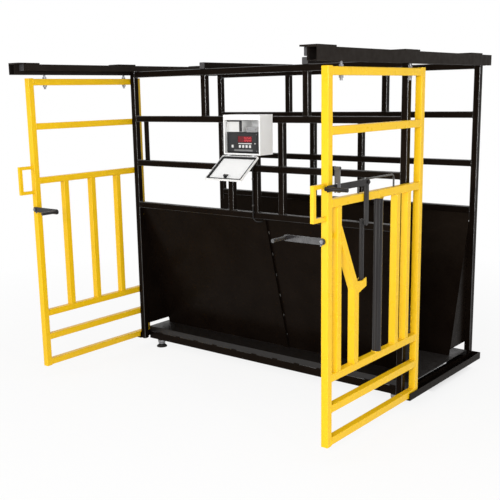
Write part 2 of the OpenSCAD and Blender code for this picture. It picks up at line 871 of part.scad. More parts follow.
module neck_bar() {
    joint = rail_mid - neck_elbow;
    nut_x = strap_x + neck_strap_thick + pull_thick + 1 + fit;
    color(black) placed() difference() {
        union() {
            translate([gate_mid - 12, neck_y, neck_level]) rod_x(neck_boss, 24);
            translate([gate_mid, neck_y, neck_level]) cylinder(d = neck_rod, h = joint + 12 - neck_level);
            translate([gate_mid, neck_y, joint]) rod_x(neck_rod - 2, strap_x + 1 - gate_mid);
            translate([strap_x, neck_y, 0]) rotate([90, 0, 90]) linear_extrude(neck_strap_thick) {
                translate([-neck_strap / 2, joint]) square([neck_strap, pull_level - joint]);
                translate([0, pull_level]) circle(d = neck_strap);
                translate([0, joint]) circle(d = neck_strap);
            }
            translate([strap_x + 1, neck_y, pull_level]) rod_x(pin, nut_x - strap_x);
            translate([nut_x, neck_y, pull_level]) rotate([0, 90, 0]) hex_nut(pin, 7);
        }
        translate([gate_mid - 13, neck_y, neck_level]) rod_x(neck_pin + play, 26);
    }
}

// Flat pull bar pinned to the strap, with a cross grip at its front end
module pull_bar() {
    front = gate_front - pull_reach;
    color(black) placed() difference() {
        union() {
            translate([pull_x - pull_thick / 2, 0, 0]) rotate([90, 0, 90]) linear_extrude(pull_thick) {
                translate([front, pull_level - pull_width / 2]) square([neck_y - front, pull_width]);
                translate([neck_y, pull_level]) circle(d = pull_width);
            }
            translate([grip_x, front, pull_level]) rod_x(pull_grip_size, pull_grip);
        }
        translate([pull_x - pull_thick, neck_y, pull_level]) rod_x(pin + play, 2 * pull_thick);
    }
}

// Strip behind the front stile, with a lug and the pin that carries the lock plate
module lock_bracket() {
    face = gate_front + tube;
    color(black) placed() {
        block([gate_mid - 14, face, pull_level + 5], [gate_mid + 16, face + 4, lock_level + 9]);
        block([gate_mid + 2, face + 3, lock_level - 9], [gate_out, lock_y + 11, lock_level + 9]);
        translate([gate_out - 8, lock_y, lock_level]) rod_x(pin, lock_width + 12);
    }
}

// Tilting fork that grips the pull bar; it is open below to leave room for the bar's drop
module lock_plate() {
    low = pull_level - pull_drop + 10;
    slot = pull_thick + 2;
    color(steel) placed() difference() {
        union() {
            block([lock_x, lock_y - lock_thick / 2, low],
                [lock_x + lock_width, lock_y + lock_thick / 2, lock_level]);
            translate([lock_x, lock_y, lock_level]) rod_x(18, lock_width);
        }
        translate([0, lock_y, lock_level]) rod_x(pin + play, 2 * px);
        block([pull_x - slot / 2, lock_y - lock_thick, low - 1],
            [pull_x + slot / 2, lock_y + lock_thick, pull_level + pull_width / 2 + 3]);
    }
}

// Bent-rod loop on the middle rail
module guide_loop() {
    bend = 24;
    side = loop_length / 2 - loop_rod / 2;
    top = loop_height - loop_rod / 2;
    middle = neck_y - loop_front + loop_length / 2;
    color(black) placed() translate([gate_mid, middle, rail_mid + half]) rotate([90, 0, 90]) {
        for (s = [0, 1]) mirror([s, 0, 0]) {
            translate([side, 0, 0]) rotate([-90, 0, 0]) cylinder(d = loop_rod, h = top - bend);
            translate([side - bend, top - bend, 0]) rotate_extrude(angle = 90)
                translate([bend, 0]) circle(d = loop_rod, $fn = 16);
        }
        translate([bend - side, top, 0]) rotate([0, 90, 0]) cylinder(d = loop_rod, h = 2 * (side - bend));
    }
}

// Indicator box, drawn about its own middle

module boxed() { placed() translate([box_place, 0, 0]) children(); }

module box_shell() {
    color(white) boxed() difference() {
        block([-box_width / 2, box_front, box_bottom], [box_width / 2, -py, box_top]);
        block([box_sheet - box_width / 2, box_front + box_sheet, box_bottom + box_sheet],
            [box_width / 2 - box_sheet, box_wall, box_top - box_sheet]);
        block([box_lip - box_width / 2, box_front - 1, box_bottom + box_lip],
            [box_width / 2 - box_lip, box_front + box_sheet + 1, box_top - top_strip]);
    }
}

// Box halves of the two hinges, each with two knuckles and the pin
module box_hinges() {
    color(steel) boxed()
        for (s = [-1, 1]) translate([s * hinge_x, 0, 0]) {
            block([-20, hinge_y + 5, box_bottom - 2], [20, box_front + 24, box_bottom]);
            for (x = [-20, 8]) {
                translate([x, hinge_y, hinge_z]) rod_x(9, 12);
                block([x, hinge_y, hinge_z - 1], [x + 12, hinge_y + 7, box_bottom - 0.5]);
            }
            translate([-20, hinge_y, hinge_z]) rod_x(4, 40);
        }
}

// The door and its cam lock are drawn shut and swung open about the door's lower edge
module swung() {
    boxed() translate([0, hinge_y, hinge_z]) rotate([door_angle, 0, 0])
        translate([0, -hinge_y, -hinge_z]) children();
}

// Door as a folded tray
module box_door() {
    color(white) swung() difference() {
        union() {
            difference() {
                block([-door_width / 2, door_front, door_low], [door_width / 2, door_back, door_top]);
                block([box_sheet - door_width / 2, door_front + box_sheet, door_low + box_sheet],
                    [door_width / 2 - box_sheet, door_back + 1, door_top - box_sheet]);
            }
            for (s = [-1, 1]) translate([s * hinge_x - 7, hinge_y, hinge_z]) {
                rod_x(9, 14);
                translate([0, -2, 0]) cube([14, 4, door_low - hinge_z + 1]);
            }
        }
        for (s = [-1, 1]) translate([s * hinge_x - 8, hinge_y, hinge_z]) rod_x(4 + play, 16);
        translate([0, door_front - 1, cam_level]) rod_y(16 + play, 6);
    }
}

// Cam lock in the door
module door_lock() {
    color(rubber) swung() translate([0, door_front, cam_level]) {
        translate([0, -4 - fit, 0]) rod_y(24, 4);
        translate([0, -4, 0]) rod_y(16, cam_back + 7);
        translate([-6, cam_back, -6]) cube([36, 3, 12]);
        translate([0, box_sheet + fit, 0]) rod_y(22, 5);
    }
}

module metered() { boxed() translate([meter_place, 0, 0]) children(); }

// Body of the indicator with a bevelled front, as its front, plan and side outlines
module meter_body() {
    w = meter_width / 2;
    face = meter_front + meter_bevel;
    intersection() {
        translate([0, box_wall, meter_low + meter_height / 2]) rotate([90, 0, 0])
            linear_extrude(meter_depth) rounded(meter_width, meter_height, 8);
        translate([0, 0, meter_low]) linear_extrude(meter_height)
            polygon([[-w, box_wall], [-w, face], [meter_bevel - w, meter_front],
                [w - meter_bevel, meter_front], [w, face], [w, box_wall]]);
        translate([-w, 0, 0]) rotate([90, 0, 90]) linear_extrude(meter_width)
            polygon([[box_wall, meter_low], [face, meter_low], [meter_front, meter_low + meter_bevel],
                [meter_front, meter_top - meter_bevel], [face, meter_top], [box_wall, meter_top]]);
    }
}

// Indicator with pockets for its display window and keys
module meter() {
    color(grey) metered() difference() {
        meter_body();
        translate([display_place - display_width / 2, meter_front - 1, display_level - display_height / 2])
            cube([display_width, 4, display_height]);
        for (x = key_places)
            translate([x - key_width / 2 - fit, meter_front - 1, key_level - key_height / 2 - fit])
                cube([key_width + 2 * fit, 9 + key_travel + fit, key_height + 2 * fit]);
    }
}

module display() {
    color([0.45, 0.05, 0.05]) metered()
        translate([display_place - display_width / 2, meter_front + 1, display_level - display_height / 2])
            cube([display_width, 2, display_height]);
}

module key(i) {
    color(white) metered()
        translate([key_places[i] - key_width / 2, meter_front - 3, key_level - key_height / 2])
            cube([key_width, 11, key_height]);
}

module key_1() { key(0); }
module key_2() { key(1); }
module key_3() { key(2); }
module key_4() { key(3); }
module key_5() { key(4); }

// Power module with a label recess, and the terminal cover, both standing on the indicator
module power_module() {
    left = -meter_width / 2;
    front = box_wall - module_depth;
    color(white) metered() {
        difference() {
            block([left, front, meter_top], [left + module_width, box_wall, meter_top + module_height]);
            block([left + 14, front - 1, meter_top + 10],
                [left + module_width - 30, front + 2, meter_top + module_height - 12]);
        }
        block([meter_width / 2 - 12 - cover_width, front, meter_top],
            [meter_width / 2 - 12, front + cover_depth, meter_top + cover_height]);
    }
}

// Lead from the gland under the box, over to the post, down it and round into the front rib

// Step of the lead from the gland to the post, from its lower end
module lead_over() {
    sphere(d = lead_size + 1, $fn = 24);
    rotate([0, -lead_slope, 0]) cylinder(d = lead_size, h = lead_step / sin(lead_slope));
    translate([-lead_step, 0, step_high]) sphere(d = lead_size + 1, $fn = 24);
    translate([-lead_step, 0, step_high]) cylinder(d = lead_size, h = lead_fall - step_high);
}

module lead() {
    drop = lead_level + lead_bend;
    color(rubber) placed() {
        translate([lead_x, lead_y, step_low]) lead_over();
        translate([lead_x, lead_y, drop]) cylinder(d = lead_size, h = step_low - drop);
        translate([lead_x + lead_bend, lead_y, drop]) rotate([90, 0, 0]) rotate(180)
            rotate_extrude(angle = 90) translate([lead_bend, 0]) circle(d = lead_size, $fn = 16);
        translate([lead_x + lead_bend, lead_y, lead_level])
            rod_x(lead_size, lead_end - lead_turn - lead_x - lead_bend);
        translate([lead_end - lead_turn, lead_y + lead_turn, lead_level]) rotate([0, 0, -90])
            rotate_extrude(angle = 90) translate([lead_turn, 0]) circle(d = lead_size, $fn = 16);
        translate([lead_end, lead_y + lead_turn, lead_level])
            rod_y(lead_size, rib_face + sheet_across + 2 - lead_y - lead_turn);
    }
}

// Gland under the box and the clips that hold the lead to the post
module lead_fittings() {
    color(grey) placed() difference() {
        union() {
            translate([gland_x, lead_y, box_bottom - gland_length])
                cylinder(d = gland_size - 4, h = gland_length);
            translate([gland_x, lead_y, box_bottom - 7]) cylinder(d = gland_size, h = 7, $fn = 6);
            for (z = clip_levels) translate([lead_x, lead_y, z]) {
                translate([0, 0, -5]) cylinder(d = lead_size + 4, h = 10);
                block([-3, 0, -5], [3, -py - lead_y, 5]);
            }
        }
        translate([gland_x, lead_y, step_low]) cylinder(d = lead_size + play, h = lead_fall + 1);
        translate([lead_x, lead_y, panel_level]) cylinder(d = lead_size + play, h = step_low - panel_level);
    }
}

feet();
load_cells();
base_long();
base_cross();
deck_joists();
deck_tread();
posts();
side_tubes();
uprights();
cross_tubes();
end_tubes();
tube_caps();
side_sheets();
seam_ribs();
end_gussets();
tracks();
track_straps();
floor_guides();
left_stiles();
left_rails();
left_bars();
left_caps();
left_handle();
left_hangers();
left_latch_bolt();
left_wheels_front();
left_wheels_back();
left_latch();
right_stiles();
right_rails();
right_bars();
bent_bar();
neck_tube_fixed();
neck_lug();
right_caps();
right_handle();
right_hangers();
right_latch_bolt();
lock_bracket();
guide_loop();
right_wheels_front();
right_wheels_back();
right_latch();
neck_bar();
pull_bar();
lock_plate();
box_shell();
box_hinges();
box_door();
door_lock();
meter();
display();
power_module();
key_1();
key_2();
key_3();
key_4();
key_5();
lead();
lead_fittings();
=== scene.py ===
"""Looks of a livestock weighing crate: paint, zinc and plastic, and small parts on the frame.

Places are in millimetres from the crate's own centre line, unless a comment says otherwise.
"""

import json
import math

import bmesh
import bpy
from mathutils import Matrix, Vector


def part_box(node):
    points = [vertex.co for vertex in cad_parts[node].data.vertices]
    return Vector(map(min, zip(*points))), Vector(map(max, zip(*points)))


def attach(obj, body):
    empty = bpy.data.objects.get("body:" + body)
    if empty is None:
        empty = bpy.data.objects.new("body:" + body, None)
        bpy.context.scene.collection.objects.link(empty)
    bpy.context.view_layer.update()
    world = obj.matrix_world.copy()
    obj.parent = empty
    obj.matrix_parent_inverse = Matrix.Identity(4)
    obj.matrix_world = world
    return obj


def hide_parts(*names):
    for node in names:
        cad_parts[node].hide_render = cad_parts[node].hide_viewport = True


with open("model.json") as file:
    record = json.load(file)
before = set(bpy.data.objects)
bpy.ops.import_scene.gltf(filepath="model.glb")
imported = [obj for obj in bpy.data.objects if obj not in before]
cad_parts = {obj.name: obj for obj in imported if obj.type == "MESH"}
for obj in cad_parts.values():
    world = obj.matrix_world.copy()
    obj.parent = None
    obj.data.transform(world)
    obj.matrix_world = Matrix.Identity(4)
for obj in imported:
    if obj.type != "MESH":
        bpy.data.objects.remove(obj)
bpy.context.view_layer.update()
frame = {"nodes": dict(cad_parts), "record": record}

MM = 0.001
POSTS_LOW, POSTS_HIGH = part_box("posts")
CENTRE = Vector(((POSTS_LOW.x + POSTS_HIGH.x) / 2, (POSTS_LOW.y + POSTS_HIGH.y) / 2, 0.0))

X = Vector((1, 0, 0))
Y = Vector((0, 1, 0))
Z = Vector((0, 0, 1))


def at(x, y, z):
    """A point in crate millimetres as metres in the shared frame."""
    return CENTRE + Vector((x, y, z)) * MM


def in_scene(name, data):
    """A new object for a mesh, curve, camera or lamp, linked to the scene."""
    obj = bpy.data.objects.new(name, data)
    bpy.context.scene.collection.objects.link(obj)
    return obj


# Camera of the photograph. Angles are in radians.

CAMERA_PLACE = (3260.5, -4631.0, 1825.4)
CAMERA_YAW = 0.68822
CAMERA_PITCH = -0.20462
CAMERA_ROLL = -0.02023
# Half of the photograph's own shift, so that other views stay centred
CAMERA_SHIFT = (0.0271, 0.0347)
FOCAL_PIXELS = 837.3
IMAGE_PIXELS = 500
SENSOR = 36.0


def make_camera():
    flat = math.cos(CAMERA_PITCH)
    look = Vector((-math.sin(CAMERA_YAW) * flat, math.cos(CAMERA_YAW) * flat,
                   math.sin(CAMERA_PITCH)))
    right = Vector((math.cos(CAMERA_YAW), math.sin(CAMERA_YAW), 0.0))
    up = right.cross(look)
    rolled_right = math.cos(CAMERA_ROLL) * right + math.sin(CAMERA_ROLL) * up
    rolled_up = math.cos(CAMERA_ROLL) * up - math.sin(CAMERA_ROLL) * right
    data = bpy.data.cameras.new("camera")
    data.sensor_fit = "HORIZONTAL"
    data.sensor_width = SENSOR
    data.lens = FOCAL_PIXELS * SENSOR / IMAGE_PIXELS
    data.shift_x, data.shift_y = CAMERA_SHIFT
    camera = in_scene("camera", data)
    turn = Matrix((rolled_right, rolled_up, -look)).transposed()
    camera.matrix_world = Matrix.Translation(at(*CAMERA_PLACE)) @ turn.to_4x4()
    bpy.context.scene.camera = camera


make_camera()


# Node helpers for materials. Scales are in patches or grains per metre.

# Most values of a noise texture lie between these
NOISE_LOW, NOISE_HIGH = 0.3, 0.7
UNCHANGED = (1.0, 1.0, 1.0)
UNMOVED = (0.0, 0.0, 0.0)


def new_material(name):
    material = bpy.data.materials.new(name)
    material.use_nodes = True
    tree = material.node_tree
    return material, tree, tree.nodes["Principled BSDF"]


def set_inputs(node, values):
    for name, value in values.items():
        node.inputs[name].default_value = value


def object_place(tree, stretch=UNCHANGED, turn=UNMOVED, shift=UNMOVED):
    """The object's own coordinates in metres, stretched, turned and shifted where asked."""
    place = tree.nodes.new("ShaderNodeTexCoord")
    mapping = tree.nodes.new("ShaderNodeMapping")
    set_inputs(mapping, {"Location": shift, "Scale": stretch, "Rotation": turn})
    tree.links.new(place.outputs["Object"], mapping.inputs["Vector"])
    return mapping.outputs["Vector"]


def noise(tree, scale, detail=3.0, stretch=UNCHANGED):
    texture = tree.nodes.new("ShaderNodeTexNoise")
    set_inputs(texture, {"Scale": scale, "Detail": detail})
    tree.links.new(object_place(tree, stretch), texture.inputs["Vector"])
    return texture.outputs["Fac"]


def ramp(tree, factor, stops):
    """Colours along a factor: stops are (place, colour)."""
    node = tree.nodes.new("ShaderNodeValToRGB")
    for element, (place, colour) in zip(node.color_ramp.elements, stops):
        element.position = place
        element.color = (*colour, 1.0)
    tree.links.new(factor, node.inputs["Fac"])
    return node.outputs["Color"]


def spread(tree, factor, low, high, start=NOISE_LOW, end=NOISE_HIGH):
    """Maps a factor between start and end to the range from low to high."""
    node = tree.nodes.new("ShaderNodeMapRange")
    set_inputs(node, {"From Min": start, "From Max": end, "To Min": low, "To Max": high})
    tree.links.new(factor, node.inputs["Value"])
    return node.outputs["Result"]


def calculate(tree, operation, first, second):
    node = tree.nodes.new("ShaderNodeMath")
    node.operation = operation
    tree.links.new(first, node.inputs[0])
    tree.links.new(second, node.inputs[1])
    return node.outputs[0]


def bump(tree, shader, height, strength, distance):
    """Raises the surface along a height; distance is in metres."""
    node = tree.nodes.new("ShaderNodeBump")
    set_inputs(node, {"Strength": strength, "Distance": distance})
    tree.links.new(height, node.inputs["Height"])
    tree.links.new(node.outputs["Normal"], shader.inputs["Normal"])


def facing(tree):
    """The direction that a face looks in."""
    return tree.nodes.new("ShaderNodeNewGeometry").outputs["True Normal"]


def split(tree, vector):
    """The three parts of a vector, by name."""
    node = tree.nodes.new("ShaderNodeSeparateXYZ")
    tree.links.new(vector, node.inputs["Vector"])
    return node.outputs


def longest_part(tree, vector):
    """The largest of a vector's three parts, signs left out."""
    size = tree.nodes.new("ShaderNodeVectorMath")
    size.operation = "ABSOLUTE"
    tree.links.new(vector, size.inputs[0])
    parts = split(tree, size.outputs["Vector"])
    longest = calculate(tree, "MAXIMUM", parts["X"], parts["Y"])
    return calculate(tree, "MAXIMUM", longest, parts["Z"])


# Longest part of the direction that a tube's face looks in: round corner below, flat side above
CORNER_UP_TO, FLAT_FROM = 0.90, 0.96
CORNER_PATCHES = 9.0
# The dullest patch of a corner keeps this share of its gloss
CORNER_LEAST = 0.4
CORNER_IOR = 2.2
COAT_ROUGHNESS = 0.16
# Patches of gloss are this many times finer than the patches of tone
GLOSS_FINENESS = 5
GRAIN_DETAIL = 2.0


def shiny_corners(tree, shader, weight):
    """Thick paint rolls over the round corners of a tube and dries glossy there."""
    corner = spread(tree, longest_part(tree, facing(tree)), 1.0, 0.0, CORNER_UP_TO, FLAT_FROM)
    uneven = spread(tree, noise(tree, CORNER_PATCHES), CORNER_LEAST * weight, weight)
    coat = calculate(tree, "MULTIPLY", corner, uneven)
    tree.links.new(coat, shader.inputs["Coat Weight"])
    shader.inputs["Coat IOR"].default_value = CORNER_IOR


def coated(name, dark, light, rough, specular, grain, blotch=6.0, peel=(0.2, 0.0004), coat=0.0,
           shine=0.0, tint=UNCHANGED, stretch=UNCHANGED):
    """A paint or plastic: blotches between two tones, uneven gloss and a fine grain.

    Peel is the grain's strength and height in metres; shine is the gloss of a tube's corners.
    """
    material, tree, shader = new_material(name)
    tone = ramp(tree, noise(tree, blotch, stretch=stretch),
                [(NOISE_LOW, dark), (NOISE_HIGH, light)])
    tree.links.new(tone, shader.inputs["Base Color"])
    roughness = spread(tree, noise(tree, blotch * GLOSS_FINENESS), *rough)
    tree.links.new(roughness, shader.inputs["Roughness"])
    bump(tree, shader, noise(tree, grain, GRAIN_DETAIL), *peel)
    set_inputs(shader, {"Specular IOR Level": specular, "Specular Tint": (*tint, 1.0),
                        "Coat Weight": coat, "Coat Roughness": COAT_ROUGHNESS})
    if shine:
        shiny_corners(tree, shader, shine)
    return material


ZINC_FLAKES = 220.0
ZINC_DARK, ZINC_LIGHT = (0.17, 0.17, 0.18), (0.28, 0.28, 0.29)
ZINC_GLOSS_PATCHES, ZINC_ROUGH = 40.0, (0.30, 0.50)
ZINC_GRAIN, ZINC_PEEL = 500.0, (0.15, 0.0003)
ZINC_METAL = 0.75


def spangled(name):
    """Zinc plate: crystal flakes of two greys with uneven gloss."""
    material, tree, shader = new_material(name)
    cells = tree.nodes.new("ShaderNodeTexVoronoi")
    cells.inputs["Scale"].default_value = ZINC_FLAKES
    tree.links.new(object_place(tree), cells.inputs["Vector"])
    tone = ramp(tree, cells.outputs["Color"], [(0.0, ZINC_DARK), (1.0, ZINC_LIGHT)])
    tree.links.new(tone, shader.inputs["Base Color"])
    roughness = spread(tree, noise(tree, ZINC_GLOSS_PATCHES), *ZINC_ROUGH)
    tree.links.new(roughness, shader.inputs["Roughness"])
    bump(tree, shader, noise(tree, ZINC_GRAIN), *ZINC_PEEL)
    shader.inputs["Metallic"].default_value = ZINC_METAL
    return material


TREAD_BARS = {"Scale": 26.0, "Mortar Size": 0.11, "Mortar Smooth": 0.5, "Brick Width": 0.9,
              "Row Height": 0.38}
TREAD_TURN = (0.0, 0.0, math.radians(45))
TREAD_GLOSS_PATCHES, TREAD_ROUGH = 30.0, (0.45, 0.60)
TREAD_PEEL = (0.3, -0.0012)
TREAD_SPECULAR = 0.40
# Upward part of the direction that a face looks in: side below, top above
SIDE_UP_TO, TOP_FROM = 0.3, 0.7


def treaded(name, dark, light):
    """Black tread plate: staggered raised bars on its top faces, brighter than the grooves."""
    material, tree, shader = new_material(name)
    bars = tree.nodes.new("ShaderNodeTexBrick")
    set_inputs(bars, TREAD_BARS)
    tree.links.new(object_place(tree, turn=TREAD_TURN), bars.inputs["Vector"])
    side = spread(tree, split(tree, facing(tree))["Z"], 1.0, 0.0, SIDE_UP_TO, TOP_FROM)
    groove = calculate(tree, "MAXIMUM", bars.outputs["Fac"], side)
    tone = ramp(tree, groove, [(0.0, light), (1.0, dark)])
    tree.links.new(tone, shader.inputs["Base Color"])
    roughness = spread(tree, noise(tree, TREAD_GLOSS_PATCHES), *TREAD_ROUGH)
    tree.links.new(roughness, shader.inputs["Roughness"])
    bump(tree, shader, groove, *TREAD_PEEL)
    shader.inputs["Specular IOR Level"].default_value = TREAD_SPECULAR
    return material


LIT_GRAIN = 900.0
LIT_DULL_UP_TO, LIT_BRIGHT_FROM = 0.2, 0.8
LIT_BRIGHTER = 1.3
LIT_ROUGHNESS = 0.3


def lit(name, colour, strength):
    """A lit display segment, which glows in a fine grain of two tones."""
    material, tree, shader = new_material(name)
    bright = tuple(min(1.0, LIT_BRIGHTER * part) for part in colour)
    glow = ramp(tree, noise(tree, LIT_GRAIN),
                [(LIT_DULL_UP_TO, colour), (LIT_BRIGHT_FROM, bright)])
    tree.links.new(glow, shader.inputs["Base Color"])
    tree.links.new(glow, shader.inputs["Emission Color"])
    set_inputs(shader, {"Emission Strength": strength, "Roughness": LIT_ROUGHNESS})
    return material


BLACK = (0.0042, 0.0026, 0.0018), (0.0068, 0.0044, 0.0031)
WARM = (1.0, 0.74, 0.52)
# One finish for each material slot of the frame
MATERIALS = {
    "black_paint": coated("black_paint", *BLACK, rough=(0.24, 0.38), specular=0.035, grain=700.0,
                          shine=1.0, tint=WARM),
    "yellow_paint": coated("yellow_paint", (0.84, 0.505, 0.008), (0.89, 0.550, 0.012),
                           rough=(0.24, 0.34), specular=0.20, grain=600.0, blotch=2.2, shine=0.12),
    "zinc": spangled("zinc"),
    "grey_plastic": coated("grey_plastic", (0.035, 0.033, 0.034), (0.060, 0.057, 0.058),
                           rough=(0.45, 0.6), specular=0.4, grain=900.0),
    "white_paint": coated("white_paint", (0.84, 0.84, 0.835), (0.88, 0.88, 0.875),
                          rough=(0.35, 0.5), specular=0.35, grain=800.0),
    "charcoal": coated("charcoal", (0.012, 0.012, 0.013), (0.022, 0.022, 0.024),
                       rough=(0.42, 0.58), specular=0.35, grain=1500.0),
    "display_red": coated("display_red", (0.13, 0.004, 0.008), (0.18, 0.005, 0.011),
                          rough=(0.10, 0.18), specular=0.4, grain=300.0, peel=(0.02, 0.0002)),
    "white_plastic": coated("white_plastic", (0.66, 0.66, 0.65), (0.74, 0.74, 0.73),
                            rough=(0.4, 0.55), specular=0.45, grain=1200.0),
    "rubber": coated("rubber", (0.008, 0.008, 0.008), (0.016, 0.015, 0.015),
                     rough=(0.55, 0.75), specular=0.25, grain=900.0),
    "trolley_wheel": coated("trolley_wheel", (0.03, 0.03, 0.03), (0.05, 0.05, 0.05),
                            rough=(0.3, 0.45), specular=0.4, grain=900.0),
    "dark_steel": coated("dark_steel", (0.010, 0.009, 0.010), (0.018, 0.016, 0.017),
                         rough=(0.16, 0.26), specular=0.40, grain=900.0),
}
DECK_TREAD = treaded("deck_tread", *BLACK)
GLOSS_BLACK = coated("gloss_black", (0.004, 0.003, 0.003), (0.016, 0.013, 0.013),
                     rough=(0.16, 0.24), specular=0.10, grain=700.0, coat=0.2)
# Painted highlights: bright vertical streaks along the round neck tubes stand in for their sheen
STREAK_SHEEN_BLACK = coated("streak_sheen_black", (0.001, 0.001, 0.001), (0.040, 0.037, 0.037),
                      rough=(0.16, 0.24), specular=0.08, grain=700.0, blotch=90.0, coat=0.12,
                      stretch=(1.0, 1.0, 0.012))
WELD_BLACK = coated("weld_black", *BLACK, rough=(0.35, 0.5), specular=0.06, grain=400.0,
                    peel=(0.3, 0.0006), tint=WARM)
TRACK_BLACK = coated("track_black", (0.008, 0.0063, 0.0055), (0.012, 0.0100, 0.0090),
                     rough=(0.55, 0.70), specular=0.12, grain=700.0, peel=(0.04, 0.0003), tint=WARM)
LOCK_GREY = coated("lock_grey", (0.085, 0.085, 0.090), (0.120, 0.120, 0.125),
                   rough=(0.30, 0.42), specular=0.40, grain=900.0)
ROD_BLACK = coated("rod_black", (0.006, 0.005, 0.005), (0.011, 0.010, 0.010),
                   rough=(0.14, 0.22), specular=0.3, grain=700.0, coat=0.7)
SEGMENT_LIT = lit("segment_lit", (0.60, 0.035, 0.045), 0.5)
SEGMENT_DARK = coated("segment_dark", (0.09, 0.004, 0.007), (0.12, 0.005, 0.009),
                      rough=(0.3, 0.4), specular=0.4, grain=900.0)
PALE_GREY = coated("pale_grey", (0.29, 0.29, 0.295), (0.35, 0.35, 0.355),
                   rough=(0.4, 0.55), specular=0.35, grain=1200.0)
MID_GREY = coated("mid_grey", (0.17, 0.17, 0.17), (0.23, 0.23, 0.23),
                  rough=(0.4, 0.55), specular=0.35, grain=1200.0)
# CAD nodes whose finish differs from the rest of their slot
NODE_FINISHES = {
    "deck_tread": DECK_TREAD,
    "tracks": TRACK_BLACK, "track_straps": TRACK_BLACK, "end_tubes": TRACK_BLACK,
    # The neck tubes take the black with painted highlights in vertical streaks
    "neck_bar": STREAK_SHEEN_BLACK, "neck_tube_fixed": STREAK_SHEEN_BLACK,
    "pull_bar": GLOSS_BLACK, "lock_bracket": GLOSS_BLACK,
    "guide_loop": ROD_BLACK, "lock_plate": LOCK_GREY,
}


def dress_frame():
    """Gives every CAD node the finish of its slot, or its own where it differs."""
    for part in frame["record"]["subparts"]:
        mesh = frame["nodes"][part["node"]].data
        mesh.materials.clear()
        mesh.materials.append(MATERIALS[part["material_slot"]])
    for name, finish in NODE_FINISHES.items():
        frame["nodes"][name].data.materials[0] = finish


dress_frame()


def keep(obj, slot, body, finish=None):
    """Gives a new piece its material, the slot's own unless another finish is given, and the body
    that it rides on.
    """
    obj.data.materials.append(finish or MATERIALS[slot])
    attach(obj, body)


# Load-cell lead, from the gland under the box to the post, down it and round into the seam rib

LEAD_SIZE = 8
LEAD_CORNERS = [(-36, -494, 1456), (-36, -494, 1420.4), (4, -494, 1376), (4, -494, 1030),
                (62, -494, 1030), (62, -465.2, 1030)]
LEAD_BENDS = [32, 32, 34, 20]
LEAD_BEND_STEPS = 7
LEAD_ROUNDNESS = 4


def arc(middle, start, end, turn):
    """Points of the arc about middle from start to end, both given from the middle."""
    points = []
    for i in range(LEAD_BEND_STEPS + 1):
        share = i / LEAD_BEND_STEPS
        swept = math.sin(turn * (1 - share)) * start + math.sin(turn * share) * end
        points.append(middle + swept / math.sin(turn))
    return points


def rounded_path(corners, bends):
    """Points of a path through the corners, with an arc of the given radius at each inner one."""
    corners = [Vector(c) for c in corners]
    points = [corners[0]]
    for before, corner, after, bend in zip(corners, corners[1:], corners[2:], bends):
        back = (before - corner).normalized()
        ahead = (after - corner).normalized()
        turn = math.pi - back.angle(ahead)
        cut = bend * math.tan(turn / 2)
        middle = corner + (back + ahead).normalized() * (bend / math.cos(turn / 2))
        points += arc(middle, corner + back * cut - middle, corner + ahead * cut - middle, turn)
    points.append(corners[-1])
    return points


def make_lead():
    """A smooth cord in place of the frame's rigid lead."""
    route = [at(*p) for p in rounded_path(LEAD_CORNERS, LEAD_BENDS)]
    data = bpy.data.curves.new("load_cell_lead", "CURVE")
    data.dimensions = "3D"
    data.bevel_depth = LEAD_SIZE * MM / 2
    data.bevel_resolution = LEAD_ROUNDNESS
    data.use_fill_caps = True
    spline = data.splines.new("POLY")
    spline.points.add(len(route) - 1)
    for point, place in zip(spline.points, route):
        point.co = (*place, 1.0)
    spline.use_smooth = True
    lead = in_scene("load_cell_lead", data)
    keep(lead, "rubber", "crate")
    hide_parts("lead")
    length = sum((b - a).length for a, b in zip(route, route[1:]))
    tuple(route[0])


make_lead()


# Mesh helpers

def turns(count):
    """Angles of count even steps round a full turn."""
    return [math.tau * i / count for i in range(count)]


def inset(span, depth):
    """A span with both ends moved inward."""
    return span[0] + depth, span[1] - depth


class Shape:
    """Collects corners and faces, and makes them one mesh object."""

    def __init__(self, name, move=None):
        self.name = name
        self.move = move or (lambda p: p)
        self.corners = []
        self.faces = []

    def rings(self, rings, closed=False):
        """Adds a skin over rings of equally many corners, closed to a loop or capped."""
        first, count = len(self.corners), len(rings[0])
        last = (len(rings) - 1) * count
        faces = []
        for i in range(len(rings) if closed else len(rings) - 1):
            here, there = i * count, (i + 1) % len(rings) * count
            for j in range(count):
                k = (j + 1) % count
                faces.append((here + j, here + k, there + k, there + j))
        if not closed:
            faces.append(reversed(range(count)))
            faces.append(range(last, last + count))
        self.corners += [Vector(p) for ring in rings for p in ring]
        self.faces += [tuple(first + i for i in face) for face in faces]

    def finish(self, slot, body, smooth=True, finish=None):
        """Makes the mesh, with all faces looking outward, and sets it on its body."""
        mesh = bpy.data.meshes.new(self.name)
        mesh.from_pydata([at(*self.move(c)) for c in self.corners], [], self.faces)
        skin = bmesh.new()
        skin.from_mesh(mesh)
        bmesh.ops.recalc_face_normals(skin, faces=skin.faces)
        skin.to_mesh(mesh)
        skin.free()
        if smooth:
            mesh.shade_smooth()
        else:
            mesh.shade_flat()
        keep(in_scene(self.name, mesh), slot, body, finish)


# Weld beads. A bead lies along a corner line; its section is given by two directions from there.

FILLET = [(0.0, 0.0), (1.0, 0.0), (0.78, 0.42), (0.42, 0.78), (0.0, 1.0)]
RAISED = [(0.0, -0.1), (1.0, 0.0), (0.6, 0.32), (0.0, 0.42), (-0.6, 0.32), (-1.0, 0.0)]
WELD = 4.5
STRAP_WELD = 5
RIPPLE = 4.0
FEWEST_RIPPLES = 4
# Swell of a bead as shares of its size, and how far its two waves turn with each ripple
BEAD_MEAN, BEAD_WAVE, BEAD_DRIFT = 0.88, 0.12, 0.08
WAVE_TURN, DRIFT_TURN = 2.4, 0.9
BEAD_END = 0.55
RING_MEAN = 0.9
RING_RIPPLES = 40
